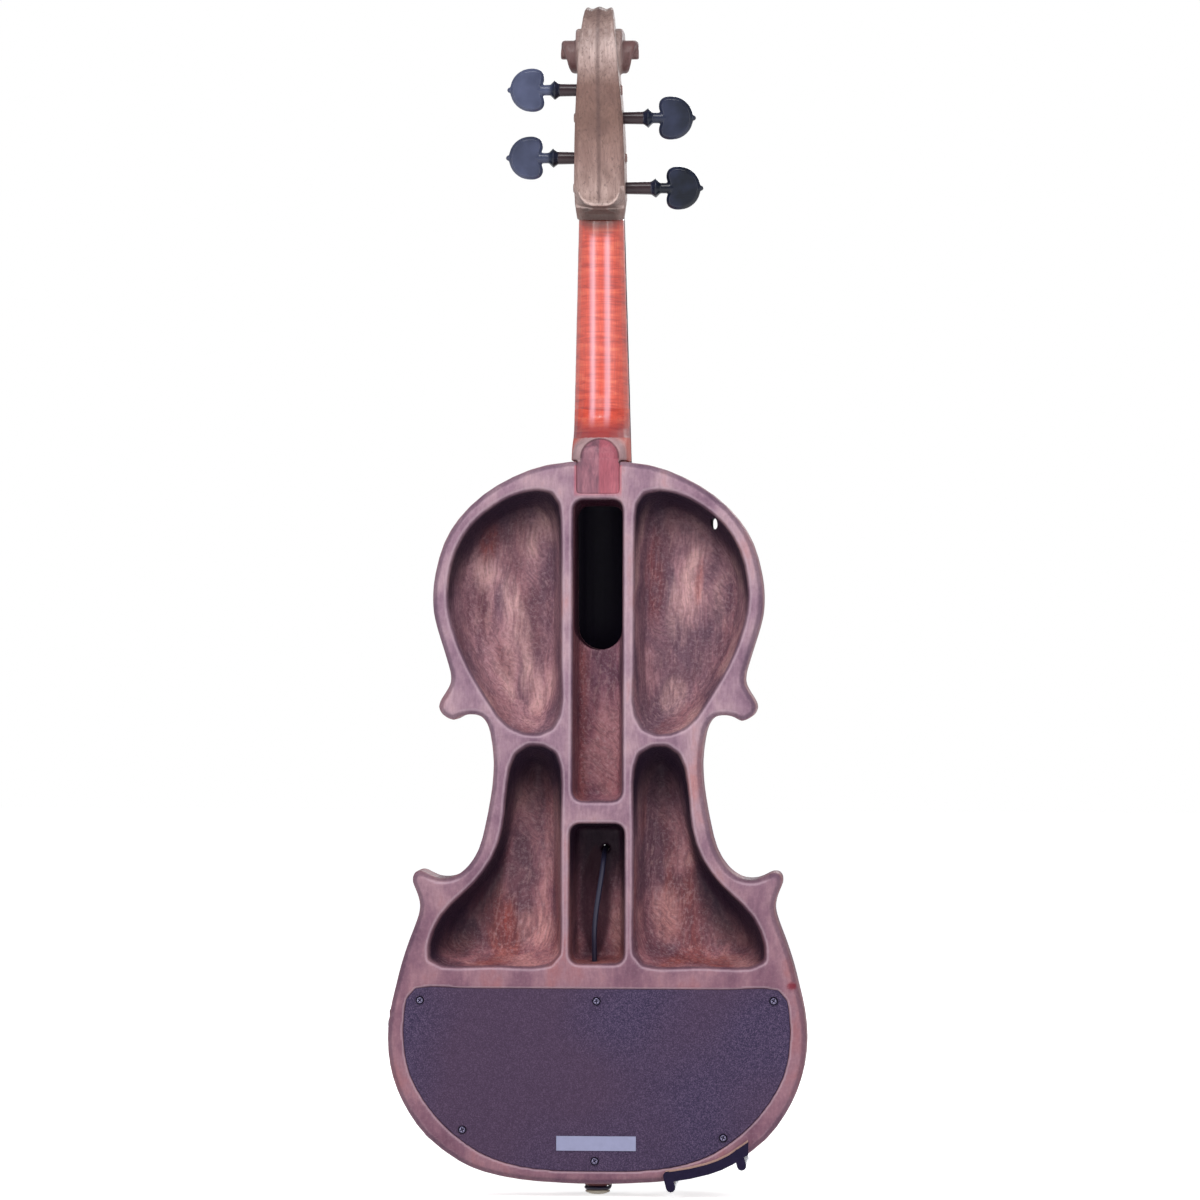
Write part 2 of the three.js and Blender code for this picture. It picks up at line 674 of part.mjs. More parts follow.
function tableAt(table, place) {
  const next = Math.max(1, table.findIndex(([from]) => from >= place));
  const [from, low] = table[next - 1];
  const [to, high] = table[next];
  return THREE.MathUtils.lerp(low, high, (place - from) / (to - from));
}

function scrollRadiusAt(turn) {
  if (turn < 0.25) return THREE.MathUtils.lerp(scroll.backRadius, scroll.radius, Math.max(0, turn) * 4);
  return scroll.radius * scroll.shrinkShare ** (turn - 0.25);
}

// One stretch of the volute, filled in to its hub
function voluteGeometry(fromTurn, toTurn) {
  const steps = Math.round((toTurn - fromTurn) * scroll.stepsPerTurn);
  const rings = [];
  for (let i = 0; i <= steps; i += 1) {
    const turn = THREE.MathUtils.lerp(fromTurn, toTurn, i / steps);
    const radius = scrollRadiusAt(turn);
    const half = scroll.earHalf * tableAt(scrollWidthShares, turn);
    const angle = 2 * Math.PI * turn;
    const away = [-Math.cos(angle), Math.sin(angle)];
    const section = [
      [-half, scroll.hub], [-half, radius - scroll.bevel], [-half + scroll.bevel, radius],
      [half - scroll.bevel, radius], [half, radius - scroll.bevel], [half, scroll.hub],
    ];
    rings.push(section.map(([x, r]) =>
      new THREE.Vector3(x, head.eyeDepth + r * away[0], eyeAlong + r * away[1])));
  }
  const fromHub = (p) => new THREE.Vector2(p.x, Math.hypot(p.y - head.eyeDepth, p.z - eyeAlong));
  return loft(rings, fromHub);
}

// A plate whose outline lies in Y and Z, between two places across
function plateAcross(outline, fromX, toX) {
  const options = { depth: toX - fromX, bevelEnabled: false };
  const geometry = new THREE.ExtrudeGeometry(new THREE.Shape(outline), options);
  geometry.rotateX(Math.PI / 2);
  geometry.rotateZ(Math.PI / 2);
  return at(geometry, fromX, 0, 0);
}

// Pegs: side +1 has its head at +X. Shares: headAt, of the head's depth, the collar's place of the head's
// half width, the winding's place of the hollow's half width
const pegs = [
  ['peg_g', 1, [0.10825, -0.38, 2.192, 0.474]],
  ['peg_e', -1, [0.30988, -0.44, 1.856, 0.526]],
  ['peg_d', 1, [0.57916, -0.62, 1.92, 0.21]],
  ['peg_a', -1, [0.76725, -0.88, 1.736, 0.21]],
].map(([name, side, [along, depth, collar, winding]]) => ({
  name,
  side,
  along: headAt(along),
  cheekAt: -head.halfWidth * tableAt(pegboxShares.map(([from, , , width]) => [from, width]), along),
  depth: depth * head.depth,
  collarAt: collar * head.halfWidth,
  windingAt: winding * head.cavityHalf,
}));
const peg = {
  shank: 2.8,               // radius at the pegbox's middle
  taperShare: 0.021,
  bore: 3.25,
  farBore: 2.75,
  proud: 1,                 // how far the small end stands out
  collar: 4.95,
  collarHalf: 2.2,
  waist: 2.7,
  waistLength: 3.1,
  headLength: 16.8,
  headHalf: 10.6,
  headThick: 5,
  headBevel: 1.5,
  pip: 1.5,
  windingInner: 3,
  windingOuter: 3.85,
  windingLength: 5,
};
const pipSteps = [8, 6];
const pegHeadShares = [
  [0.05, 0], [0.04, 0.24], [0, 0.42], [0, 0.68], [0.07, 0.88], [0.22, 0.99], [0.4, 1], [0.61, 0.93],
  [0.81, 0.72], [0.94, 0.42], [1, 0],
];

function headGeometry() {
  const rings = pegboxShares.map(([along, front, back, width, shoulder = back, flat = 1]) => {
    const [y1, y2] = [front * head.depth, back * head.depth];
    const half = width * head.halfWidth;
    const flatHalf = flat * half - head.bevel;
    const shoulderY = shoulder * head.depth + head.bevel;
    return [
      [half, y1], [-half, y1], [-half, shoulderY], [-flatHalf, y2], [flatHalf, y2], [half, shoulderY],
    ].map(([x, y]) => new THREE.Vector3(x, y, headAt(along)));
  });
  const pieces = [loft(rings, acrossZ)];
  for (let turn = scroll.startShare; turn < scroll.endShare; turn += scroll.pieceShare) {
    pieces.push(voluteGeometry(turn, Math.min(turn + scroll.pieceShare, scroll.endShare)));
  }
  pieces.push(at(rod(scroll.eye, -scroll.earHalf, scroll.earHalf, 'x'), 0, head.eyeDepth, eyeAlong));
  const hollow = cavityShares.map(([along, depth]) =>
    new THREE.Vector2(depth * head.depth, headAt(along)));
  const bores = pegs.flatMap(({ side, along, depth }) => {
    const reach = side * (head.halfWidth + overrun);
    const [near, far] = [[0, reach], [-reach, 0]].map((ends) => ends.sort((a, b) => a - b));
    return [at(rod(peg.bore, ...near, 'x', roundSides), 0, depth, along),
      at(rod(peg.farBore, ...far, 'x', roundSides), 0, depth, along)];
  });
  return cut(join(...pieces), plateAcross(hollow, -head.cavityHalf, head.cavityHalf), ...bores);
}

place('scroll_and_pegbox', headGeometry(), headWood, neckGroup);

function pegGeometry({ side, cheekAt, collarAt }) {
  const radiusAt = (x) => peg.shank + peg.taperShare * x;
  const tip = cheekAt - peg.proud;
  const shankEnd = collarAt - peg.collarHalf;
  const headStart = collarAt + peg.collarHalf + peg.waistLength;
  const shaft = turned([
    [0, tip], [radiusAt(tip) - peg.proud / 2, tip], [radiusAt(tip), tip + peg.proud / 2],
    [radiusAt(shankEnd), shankEnd], [peg.collar, collarAt], [peg.waist, collarAt + peg.collarHalf],
    [peg.waist, headStart + peg.headBevel * 2], [0, headStart + peg.headBevel * 2],
  ], 'x', roundSides);
  const half = pegHeadShares.map(([along, up]) =>
    new THREE.Vector2(headStart + along * peg.headLength, up * peg.headHalf));
  const lobes = [...half, ...half.slice(1, -1).reverse().map((p) => new THREE.Vector2(p.x, -p.y))];
  const grip = slab(smoothClosed(lobes), -peg.headThick / 2, peg.headThick / 2, peg.headBevel);
  const pip = at(new THREE.SphereGeometry(peg.pip, ...pipSteps), headStart + peg.headLength, 0, 0);
  const whole = join(shaft, grip, pip);
  if (side < 0) whole.rotateZ(Math.PI);
  return whole;
}

for (const one of pegs) {
  place(one.name, pegGeometry(one), ebony, neckGroup).position.set(0, one.depth, one.along);
  const from = one.side * one.windingAt - peg.windingLength / 2;
  const ring = turned([
    [peg.windingInner, from], [peg.windingOuter, from], [peg.windingOuter, from + peg.windingLength],
    [peg.windingInner, from + peg.windingLength], [peg.windingInner, from],
  ], 'x', roundSides);
  place(one.name.replace('peg', 'winding'), ring, steel, neckGroup).position.set(0, one.depth, one.along);
}

// Bridge, saddle and strings

// half outline from the arch between the feet up to the top's corner: shares of the half width and the height
const bridgeShares = [
  [0, 0.31], [0.2, 0.28], [0.4, 0.14], [0.5, 0.05], [0.52, 'foot'], [0.97, 'foot'], [0.99, 0.07],
  [0.86, 0.13], [0.79, 0.24], [0.88, 0.38], [0.98, 0.5], [0.9, 0.57], [0.77, 0.53], [0.72, 0.62],
  [0.84, 0.73], [0.86, 'top'],
];
const bridgeTopSteps = 6;
const belly = archAt(0, bridgeZ);
const bridgeTopAt = (x) => belly + bridge.height - bridge.crown + Math.sqrt(bridge.crown ** 2 - x ** 2);

function bridgeHalfThickness(y) {
  const up = THREE.MathUtils.clamp((y - belly) / bridge.height, 0, 1);
  return THREE.MathUtils.lerp(bridge.foot, bridge.crest, up) / 2;
}

function bridgeGeometry() {
  const half = bridgeShares.map(([w, h]) => {
    const x = w * bridge.half;
    if (h === 'foot') return new THREE.Vector2(x, archAt(x, bridgeZ) + seatGap);
    return new THREE.Vector2(x, h === 'top' ? bridgeTopAt(x) : belly + h * bridge.height);
  });
  const corner = half.at(-1).x;
  const crown = Array.from({ length: bridgeTopSteps - 1 }, (_, i) => {
    const x = corner * (1 - 2 * (i + 1) / bridgeTopSteps);
    return new THREE.Vector2(x, bridgeTopAt(x));
  });
  const outline = new THREE.Shape([...half, ...crown, ...mirrored(half.slice(1))]);
  const holes = [[0, 0.6, bridge.heart], [0.58, 0.5, bridge.kidney], [-0.58, 0.5, bridge.kidney]];
  for (const [w, h, radius] of holes) {
    const hole = new THREE.Path();
    hole.absarc(w * bridge.half, belly + h * bridge.height, radius, 0, 2 * Math.PI);
    outline.holes.push(hole);
  }
  const geometry = new THREE.ExtrudeGeometry(outline, {
    depth: bridge.foot, bevelEnabled: false, curveSegments: 5,
  });
  const points = geometry.attributes.position;
  for (let i = 0; i < points.count; i += 1) {
    const side = Math.sign(points.getZ(i) - bridge.foot / 2);
    points.setZ(i, bridgeZ + side * bridgeHalfThickness(points.getY(i)));
  }
  return geometry;
}

place('bridge', bridgeGeometry(), maple);

const saddleTop = bodyFoot + saddle.foot + saddle.height;
const saddleFoot = bodyFoot + saddle.foot;
const saddleOutline = [
  [saddle.base, saddleFoot], [saddle.top - saddle.round, saddleFoot], [saddle.top, saddleFoot + saddle.round],
  [saddle.top, saddleTop - saddle.round], [saddle.top - saddle.round, saddleTop], [saddle.base, saddleTop],
].map(([y, z]) => new THREE.Vector2(y, z));
place('saddle', plateAcross(saddleOutline, -saddle.half, saddle.half), ebony);

// Tailpiece frame: its origin is under the tail end, its z runs up to the bridge

const tail = {
  footUp: 11.2,             // above the body's foot
  footDepth: 43.5,
  angle: THREE.MathUtils.degToRad(-9.2),
  length: 94,
  edge: 3.5,
  cordHoleAt: 5,
  cordHoleDepth: 11,
  cordHoleHeight: 2.3,
};
// along share of the length, half width and height
const tailSections = [
  [0, 9, 6], [0.08, 11.6, 7.6], [0.42, 13.4, 8], [0.8, 20, 8.6], [0.98, 20.6, 8.2], [1, 19.4, 6.8],
];
const tailArcSteps = 8;
const tuner = {
  screwAlong: 66,
  shank: 1.3,
  bore: 1.45,
  travel: 2.8,
  tip: -0.2,
  knob: 3.6,
  knobHeight: 4.6,
  knobWall: 0.8,
  pivotAlong: 78,
  pivotHeight: 2.2,
  pinRadius: 1,
  pinHalf: 2.9,
  leverHalf: 1.2,
  slotHalf: 1.6,
  slot: [73.4, 81.6],
  hookHeight: 10.6,
  hookFace: 79.6,
  hookThick: 2.4,
  armTop: -0.5,
  armThick: 1.6,
  armEnd: 63.4,
};
const strings = [
  { name: 'string_g', radius: 0.41, share: 1, peg: 0 },
  { name: 'string_d', radius: 0.38, share: 1 / 3, peg: 2 },
  { name: 'string_a', radius: 0.34, share: -1 / 3, peg: 3 },
  { name: 'string_e', radius: 0.25, share: -1, peg: 1 },
];
const stringSpread = { tail: 13.5, bridge: 16.5, nut: 8 };
const stringSides = 6;

const tailGroup = new THREE.Group();
tailGroup.position.set(0, tail.footDepth, bodyFoot + tail.footUp);
tailGroup.rotation.x = tail.angle;
violin.add(tailGroup);
tailGroup.updateMatrix();
neckGroup.updateMatrix();

function tailTopAt(x, half, height) {
  return tail.edge + (height - tail.edge) * Math.cos(Math.PI / 2 * Math.min(1, Math.abs(x) / half));
}

function tailpieceGeometry() {
  const rings = tailSections.map(([share, half, height]) => {
    const ring = [-half, half].map((x) => new THREE.Vector3(x, 0, share * tail.length));
    for (let i = 0; i <= tailArcSteps; i += 1) {
      const x = half * (1 - 2 * i / tailArcSteps);
      ring.push(new THREE.Vector3(x, tailTopAt(x, half, height), share * tail.length));
    }
    return ring;
  });
  const cutters = [-1, 1].map((side) => at(rod(cord.radius + seatGap, -overrun, tail.cordHoleDepth, 'z'),
    side * tail.cordHoleAt, tail.cordHoleHeight, 0));
  for (const { share } of strings) {
    const x = share * stringSpread.tail;
    cutters.push(at(rod(tuner.bore, -overrun, 4 * tail.edge, 'y', roundSides), x, 0, tuner.screwAlong));
    cutters.push(box(x - tuner.slotHalf, x + tuner.slotHalf, -overrun, 4 * tail.edge, ...tuner.slot));
    cutters.push(box(x - tuner.pinHalf - seatGap, x + tuner.pinHalf + seatGap, -overrun,
      tuner.pivotHeight + tuner.pinRadius + runGap, tuner.pivotAlong - tuner.pinRadius - runGap,
      tuner.pivotAlong + tuner.pinRadius + runGap));
  }
  return cut(loft(rings, acrossZ), ...cutters);
}

function leverGeometry() {
  const { armTop, armThick, armEnd, hookFace, hookThick, hookHeight, pivotHeight, pivotAlong } = tuner;
  const outline = [
    [armTop, armEnd], [armTop - armThick, armEnd], [armTop - armThick, pivotAlong - hookThick],
    [armTop, hookFace], [hookHeight, hookFace], [hookHeight, hookFace - hookThick],
    [pivotHeight, hookFace - hookThick - runGap], [armTop, pivotAlong - 2 * hookThick],
  ].map(([y, z]) => new THREE.Vector2(y - pivotHeight, z - pivotAlong));
  const pin = rod(tuner.pinRadius, -tuner.pinHalf, tuner.pinHalf, 'x');
  return join(plateAcross(outline, -tuner.leverHalf, tuner.leverHalf), pin);
}

function ringAt(point, radius) {
  return Array.from({ length: stringSides }, (_, i) => {
    const angle = 2 * Math.PI * (i + 0.5) / stringSides;
    return new THREE.Vector3(point.x + radius * Math.cos(angle), point.y + radius * Math.sin(angle), point.z);
  });
}

function stringPath({ radius, share, peg: index }) {
  const { side, depth, along, windingAt } = pegs[index];
  const nutX = share * stringSpread.nut;
  const bridgeX = share * stringSpread.bridge;
  const tailX = share * stringSpread.tail;
  const over = boardTop(nutX, neckHalfAt(nutStart)) + nut.rise + radius + seatGap;
  const lift = radius + seatGap;
  const inNeck = (x, y, z) => new THREE.Vector3(x, y, z).applyMatrix4(neckGroup.matrix);
  const hook = new THREE.Vector3(tailX, tuner.hookHeight - radius - runGap, tuner.hookFace + seatGap);
  return [
    hook.applyMatrix4(tailGroup.matrix),
    new THREE.Vector3(bridgeX, bridgeTopAt(bridgeX) + lift, bridgeZ - bridge.crest / 2),
    new THREE.Vector3(bridgeX, bridgeTopAt(bridgeX) + lift, bridgeZ + bridge.crest / 2),
    inNeck(nutX, over, nutStart),
    inNeck(nutX, over, nutStart + nut.length / 2),
    inNeck(side * windingAt, depth + peg.windingOuter + lift, along),
  ];
}

place('tailpiece', tailpieceGeometry(), blackPlastic, tailGroup);
for (const string of strings) {
  const note = string.name.slice(-1);
  place(string.name, loft(stringPath(string).map((point) => ringAt(point, string.radius)), acrossZ), steel);
  const x = string.share * stringSpread.tail;
  const screwShare = tuner.screwAlong / tail.length;
  const half = tableAt(tailSections.map(([share, w]) => [share, w]), screwShare);
  const height = tableAt(tailSections.map(([share, w, h]) => [share, h]), screwShare);
  const knobFoot = tailTopAt(Math.max(0, Math.abs(x) - tuner.knob), half, height) + tuner.travel + seatGap;
  const shankTop = knobFoot + tuner.knobHeight - tuner.knobWall - seatGap;
  place(`tuner_shank_${note}`, rod(tuner.shank, tuner.tip, shankTop, 'y'), steel, tailGroup)
    .position.set(x, 0, tuner.screwAlong);
  const knob = turned([
    [0, shankTop + seatGap], [tuner.bore, shankTop + seatGap], [tuner.bore, knobFoot], [tuner.knob, knobFoot],
    [tuner.knob, knobFoot + tuner.knobHeight - tuner.knobWall],
    [tuner.knob - tuner.knobWall, knobFoot + tuner.knobHeight], [0, knobFoot + tuner.knobHeight],
  ], 'y', smallSides);
  place(`tuner_knob_${note}`, knob, steel, tailGroup).position.set(x, 0, tuner.screwAlong);
  place(`tuner_lever_${note}`, leverGeometry(), steel, tailGroup)
    .position.set(x, tuner.pivotHeight, tuner.pivotAlong);
}

// Tail cord, end button, pickup and its cable

function tube(path, radius, sides, steps) {
  const section = Array.from({ length: sides }, (_, i) => {
    const angle = 2 * Math.PI * i / sides;
    return new THREE.Vector2(radius * Math.cos(angle), radius * Math.sin(angle));
  });
  const options = { steps, extrudePath: path, bevelEnabled: false };
  return new THREE.ExtrudeGeometry(new THREE.Shape(section), options);
}

function buttonGeometry() {
  const face = -seatGap;
  const collarEnd = face - button.collarHeight;
  const grooveEnd = collarEnd - button.grooveHeight;
  const end = grooveEnd - button.headHeight;
  return turned([
    [0, button.shankLength], [button.shank - button.collarHeight / 2, button.shankLength],
    [button.shank, button.shankLength - button.collarHeight], [button.shank, face], [button.collar, face],
    [button.collar, collarEnd], [button.groove, collarEnd], [button.groove, grooveEnd],
    [button.head, grooveEnd], [button.head, end + button.headHeight / 2], [button.face, end], [0, end],
  ], 'z', roundSides);
}

place('end_button', buttonGeometry(), bone).position.set(0, button.depth, bodyFoot);

const cordZ = bodyFoot - seatGap - button.collarHeight - button.grooveHeight / 2;
const cordRing = button.groove + cord.radius + seatGap;
// across, depth, height above the body's foot
const cordSide = [
  [tail.cordHoleAt, 47.05, 18.7], [tail.cordHoleAt, 45.7, 10.4], [tail.cordHoleAt, 43.6, 7.2],
  [tail.cordHoleAt, 41.5, 3.4], [tail.cordHoleAt, 39.6, -0.8], [tail.cordHoleAt + 0.2, 36, -2.3],
  [tail.cordHoleAt + 0.6, 27, cordZ - bodyFoot], [cordRing, 20, cordZ - bodyFoot],
].map(([x, y, up]) => new THREE.Vector3(x, y, bodyFoot + up));
const cordLoopSteps = 8;
const cordLoop = Array.from({ length: cordLoopSteps + 1 }, (_, i) => {
  const angle = -Math.PI * i / cordLoopSteps;
  return new THREE.Vector3(cordRing * Math.cos(angle), button.depth + cordRing * Math.sin(angle), cordZ);
});
const otherSide = cordSide.map((p) => new THREE.Vector3(-p.x, p.y, p.z)).reverse();
const cordPath = new THREE.CatmullRomCurve3([...cordSide, ...cordLoop, ...otherSide], false, 'centripetal');
place('tail_cord', tube(cordPath, cord.radius, stringSides, cord.steps), cordBlack);

const pickup = { foot: 58, top: 66, from: -4, to: 8, thick: 3 };
const pickupZ = bridgeZ + bridgeHalfThickness(pickup.foot) + seatGap;
place('bridge_pickup', box(pickup.from, pickup.to, pickup.foot, pickup.top, pickupZ, pickupZ + pickup.thick),
  blackPlastic);

// across, depth, height: above the bridge, then share of the bay's length from its top, then above the bay's
// foot, then above the cavity's top
const cableStretches = [
  [(up) => bridgeZ + up, [
    [3, 57.6, 3.7], [3, 54.5, 4], [3, 51.5, 7], [3, 48.8, 10.4], [3, 46, 11.5], [3, 33, 11.5], [3, 25, 11.2],
    [2.8, 16.5, 8.5],
  ]],
  [(share) => THREE.MathUtils.lerp(bayTop, bayFoot, share), [
    [2.2, 10.2, 0.3377], [0.8, 7.4, 0.4826], [-0.8, 7.6, 0.642], [-1.7, 10.3, 0.787],
  ]],
  [(up) => bayFoot + up, [[-1.8, 14, 6.7], [-1.8, 15.5, -1.3], [-1.8, 15.5, -13.3], [-1.8, 15.5, -22.3]]],
  [(up) => cavityTop + up, [[-0.4, 17, -5.7], [2.4, 19.6, -9.9], [3, 20, -12.1]]],
];
const cablePoints = cableStretches.flatMap(([height, points]) =>
  points.map(([x, y, place]) => new THREE.Vector3(x, y, height(place))));
const cablePath = new THREE.CatmullRomCurve3(cablePoints, false, 'centripetal');
place('pickup_cable', tube(cablePath, cable.radius, cable.sides, cable.steps), cordBlack);

// Cover, its screws and the electronics

const plateFace = coverPlate.rebate - coverPlate.thickness - coverPlate.seat;
const plate = slab(coverOutline, plateFace, plateFace + coverPlate.thickness, coverPlate.round);
place('control_cover', cut(plate, ...screwHoles(-overrun, 2 * overrun)), coverPlastic);
screwPlaces.forEach((p, i) => {
  const { head: radius, headHeight, shank, length } = coverScrew;
  const face = plateFace - coverPlate.seat;
  const screw = turned([
    [0, face - headHeight], [radius - headHeight / 2, face - headHeight], [radius, face - headHeight / 2],
    [radius, face], [shank, face], [shank, length - shank], [0, length],
  ], 'y', screwSides);
  place(`cover_screw_${i + 1}`, screw, darkSteel).position.set(p.x, 0, p.y);
});
const label = { half: 19.6, up: 16.7, height: 7.2, thick: 0.3 };
const labelFoot = bodyFoot + label.up;
const labelBack = plateFace - coverPlate.seat;
place('label_plate', box(-label.half, label.half, labelBack - label.thick, labelBack, labelFoot,
  labelFoot + label.height), steel);

const floorGap = coverPlate.cavityFloor - seatGap;
// Heights are from the cavity's top; a block has its two ends across, its back, its foot and its top
const preamp = {
  from: -38,
  to: 10,
  foot: -48.4,
  top: -19.9,
  depth: 22.6,
  thick: 1.6,
  post: 2.2,
  postInset: 4,
  blocks: [
    [-1, 7, 17.4, -20.9, -12.8], [-28, -18, 16, -43.9, -33.9], [-12, 2, 18, -45.9, -27.9],
    [-28, -20, 18.5, -29.9, -23.9],
  ],
};

function preampGeometry() {
  const [foot, top] = [cavityTop + preamp.foot, cavityTop + preamp.top];
  const pieces = [box(preamp.from, preamp.to, preamp.depth, preamp.depth + preamp.thick, foot, top)];
  for (const x of [preamp.from + preamp.postInset, preamp.to - preamp.postInset]) {
    for (const z of [foot + preamp.postInset, top - preamp.postInset]) {
      pieces.push(at(rod(preamp.post, preamp.depth, floorGap, 'y', screwSides), x, 0, z));
    }
  }
  const inBoard = preamp.depth + preamp.thick / 2;
  for (const [from, to, face, blockFoot, blockTop] of preamp.blocks) {
    pieces.push(box(from, to, face, inBoard, cavityTop + blockFoot, cavityTop + blockTop));
  }
  return join(...pieces);
}

place('preamp_board', preampGeometry(), boardGreen);

const battery = {
  from: 11.2,
  width: 26.5,
  thick: 17.5,
  foot: -22.2,              // from the cavity's middle
  length: 46.4,
  stud: 3,
  studHeight: 2.2,
  studSink: 1,
  studAt: 6.3,
};

function batteryGeometry() {
  const foot = cavityMiddle + battery.foot;
  const top = foot + battery.length;
  const [back, to] = [floorGap - battery.thick, battery.from + battery.width];
  const studs = [-1, 1].map((side) =>
    at(rod(battery.stud, top - battery.studSink, top + battery.studHeight, 'z', screwSides),
      (battery.from + to) / 2 + side * battery.studAt, (back + floorGap) / 2, 0));
  return join(box(battery.from, to, back, floorGap, foot, top), ...studs);
}

place('battery', batteryGeometry(), batteryCase);

const jackFace = -body.halfWidth + electronics.jackSeat - runGap;
const [plateHalfAcross, plateHalfAlong] = electronics.jackPlateHalf;
const jackHole = rod(electronics.jackRadius + runGap, -body.halfWidth - overrun, 0, 'x', roundSides);
const jackPlate = box(jackFace - electronics.jackPlate, jackFace, -plateHalfAcross, plateHalfAcross,
  -plateHalfAlong, plateHalfAlong);
place('jack_plate', cut(jackPlate, jackHole), darkSteel).position.set(0, electronics.jackDepth, jackHeight);
const flangeBack = jackFace - electronics.jackPlate - runGap;
const flangeFace = flangeBack - electronics.jackFlangeHeight;
place('output_jack', turned([
  [electronics.jackBore, flangeFace], [electronics.jackFlange, flangeFace],
  [electronics.jackFlange, flangeBack], [electronics.jackRadius, flangeBack],
  [electronics.jackRadius, flangeFace + electronics.jackLength],
  [0, flangeFace + electronics.jackLength], [0, flangeFace + electronics.jackBoreDepth],
  [electronics.jackBore, flangeFace + electronics.jackBoreDepth], [electronics.jackBore, flangeFace],
], 'x', roundSides), steel).position.set(0, electronics.jackDepth, jackHeight);

['volume', 'tone'].forEach((name, i) => {
  const { x, y: z } = potPlaces[i];
  const shaftEnd = pot.knobFoot - pot.shaftLength;
  place(`${name}_pot`, turned([
    [0, floorGap - pot.height], [pot.radius, floorGap - pot.height], [pot.radius, floorGap],
    [pot.bushing, floorGap], [pot.bushing, pot.bushingTop], [pot.bore, pot.bushingTop],
    [pot.bore, shaftEnd - seatGap], [0, shaftEnd - seatGap],
  ], 'y', roundSides), steel).position.set(x, 0, z);
  const top = pot.knobFoot + pot.knobHeight;
  place(`${name}_knob`, turned([
    [0, shaftEnd], [pot.shaft, shaftEnd],
    [pot.shaft, pot.knobFoot + pot.recessDepth], [pot.recess, pot.knobFoot + pot.recessDepth],
    [pot.recess, pot.knobFoot], [pot.knob, pot.knobFoot], [pot.knobTop, top - seatGap],
    [pot.knobTop - seatGap, top], [0, top],
  ], 'y', roundSides), blackPlastic).position.set(x, 0, z);
});

// Chin rest and its clamp, on the lower right edge

const chin = {
  shares: [0.54211, 0.87022],
  base: 47,
  half: 36.3,
  halfAlong: 29,
  sides: 26,
};
// radius and height of the cup's profile, shares of its half width
const chinProfileShares = [
  [0, 0], [0.33, 0], [0.83, 0.19], [0.99, 0.29], [1, 0.33], [0.95, 0.347], [0.83, 0.262], [0.41, 0.138],
  [0, 0.11],
];
const clamp = {
  stretchShares: [0.32914, 0.72604],  // its ends, of the body's half width
  belowShare: 0.8225,       // it lies under this height
  endStep: 2,               // least step of the outline at its ends
  postOut: 2.9,             // posts' axes outside the outline
  postShares: [0.35721, 0.6941],
  post: 1.2,
  ear: 2.3,
  earInset: 3,
  upperInset: [0.8, 9],
  shelfInset: 15,
  upperPlate: [37.6, 38.8],
  corkTop: 37.5,
  footTop: 46,
  shelf: [44, 54],
  shelfRound: 1,
  footInset: 4.9,
  footCorkInset: 5.8,
  footPlate: [-3.2, -1.9],
  footCork: [-1.8, -0.3],
  upperPostEnd: 23,
  lowerPostEnd: 12,
  barrel: 2.2,
  barrelBore: 1.35,
  barrelFrom: 6,
  barrelTo: 29,
  barrelSides: 12,
  crossHole: 0.8,
};
const [clampFrom, clampTo] = clamp.stretchShares.map((share) => share * body.halfWidth);
const clampBelow = heightOf(clamp.belowShare);

function crossingAt(points, x) {
  const low = points.filter((p) => p.x > 0 && p.y < clampBelow);
  const next = low.findIndex((p) => p.x < x);
  const [before, after] = [low[next - 1], low[next]];
  return before.clone().lerp(after, (before.x - x) / (before.x - after.x));
}

function lowerStretch(points, fromX, toX) {
  const { endStep } = clamp;
  const between = points.filter((p) => p.x > fromX + endStep && p.x < toX - endStep && p.y < clampBelow);
  return [crossingAt(points, toX), ...between, crossingAt(points, fromX)];
}

// A band along the edge between two insets
const band = (near, far, end = 0) => [
  ...lowerStretch(inset(bodyOutline, near), clampFrom + end, clampTo - end),
  ...lowerStretch(inset(bodyOutline, far), clampFrom + end, clampTo - end).reverse(),
];

// A strip with round ends between two places
function strip(from, to, radius, arcSteps = 5) {
  const heading = Math.atan2(to.y - from.y, to.x - from.x);
  const roundEnd = (middle, start) => Array.from({ length: arcSteps + 1 }, (_, i) => {
    const angle = heading + start + Math.PI * i / arcSteps;
    return new THREE.Vector2(middle.x + radius * Math.cos(angle), middle.y + radius * Math.sin(angle));
  });
  return [...roundEnd(to, -Math.PI / 2), ...roundEnd(from, Math.PI / 2)];
}

const postX = clamp.postShares.map((share) => share * body.halfWidth);
const postPlaces = postX.map((x) => crossingAt(inset(bodyOutline, -clamp.postOut), x));
const earStarts = postX.map((x) => crossingAt(inset(bodyOutline, clamp.earInset), x - clamp.earInset / 2));

// A plate along the edge with two ears and a post from each to the far end
function clampPlate(outline, [from, to], postFrom, postTo) {
  const ears = postPlaces.map((post, i) => slab(strip(earStarts[i], post, clamp.ear), from, to));
  const posts = postPlaces.map((post) => at(rod(clamp.post, postFrom, postTo, 'y'), post.x, 0, post.y));
  return join(slab(outline, from, to), ...ears, ...posts);
}

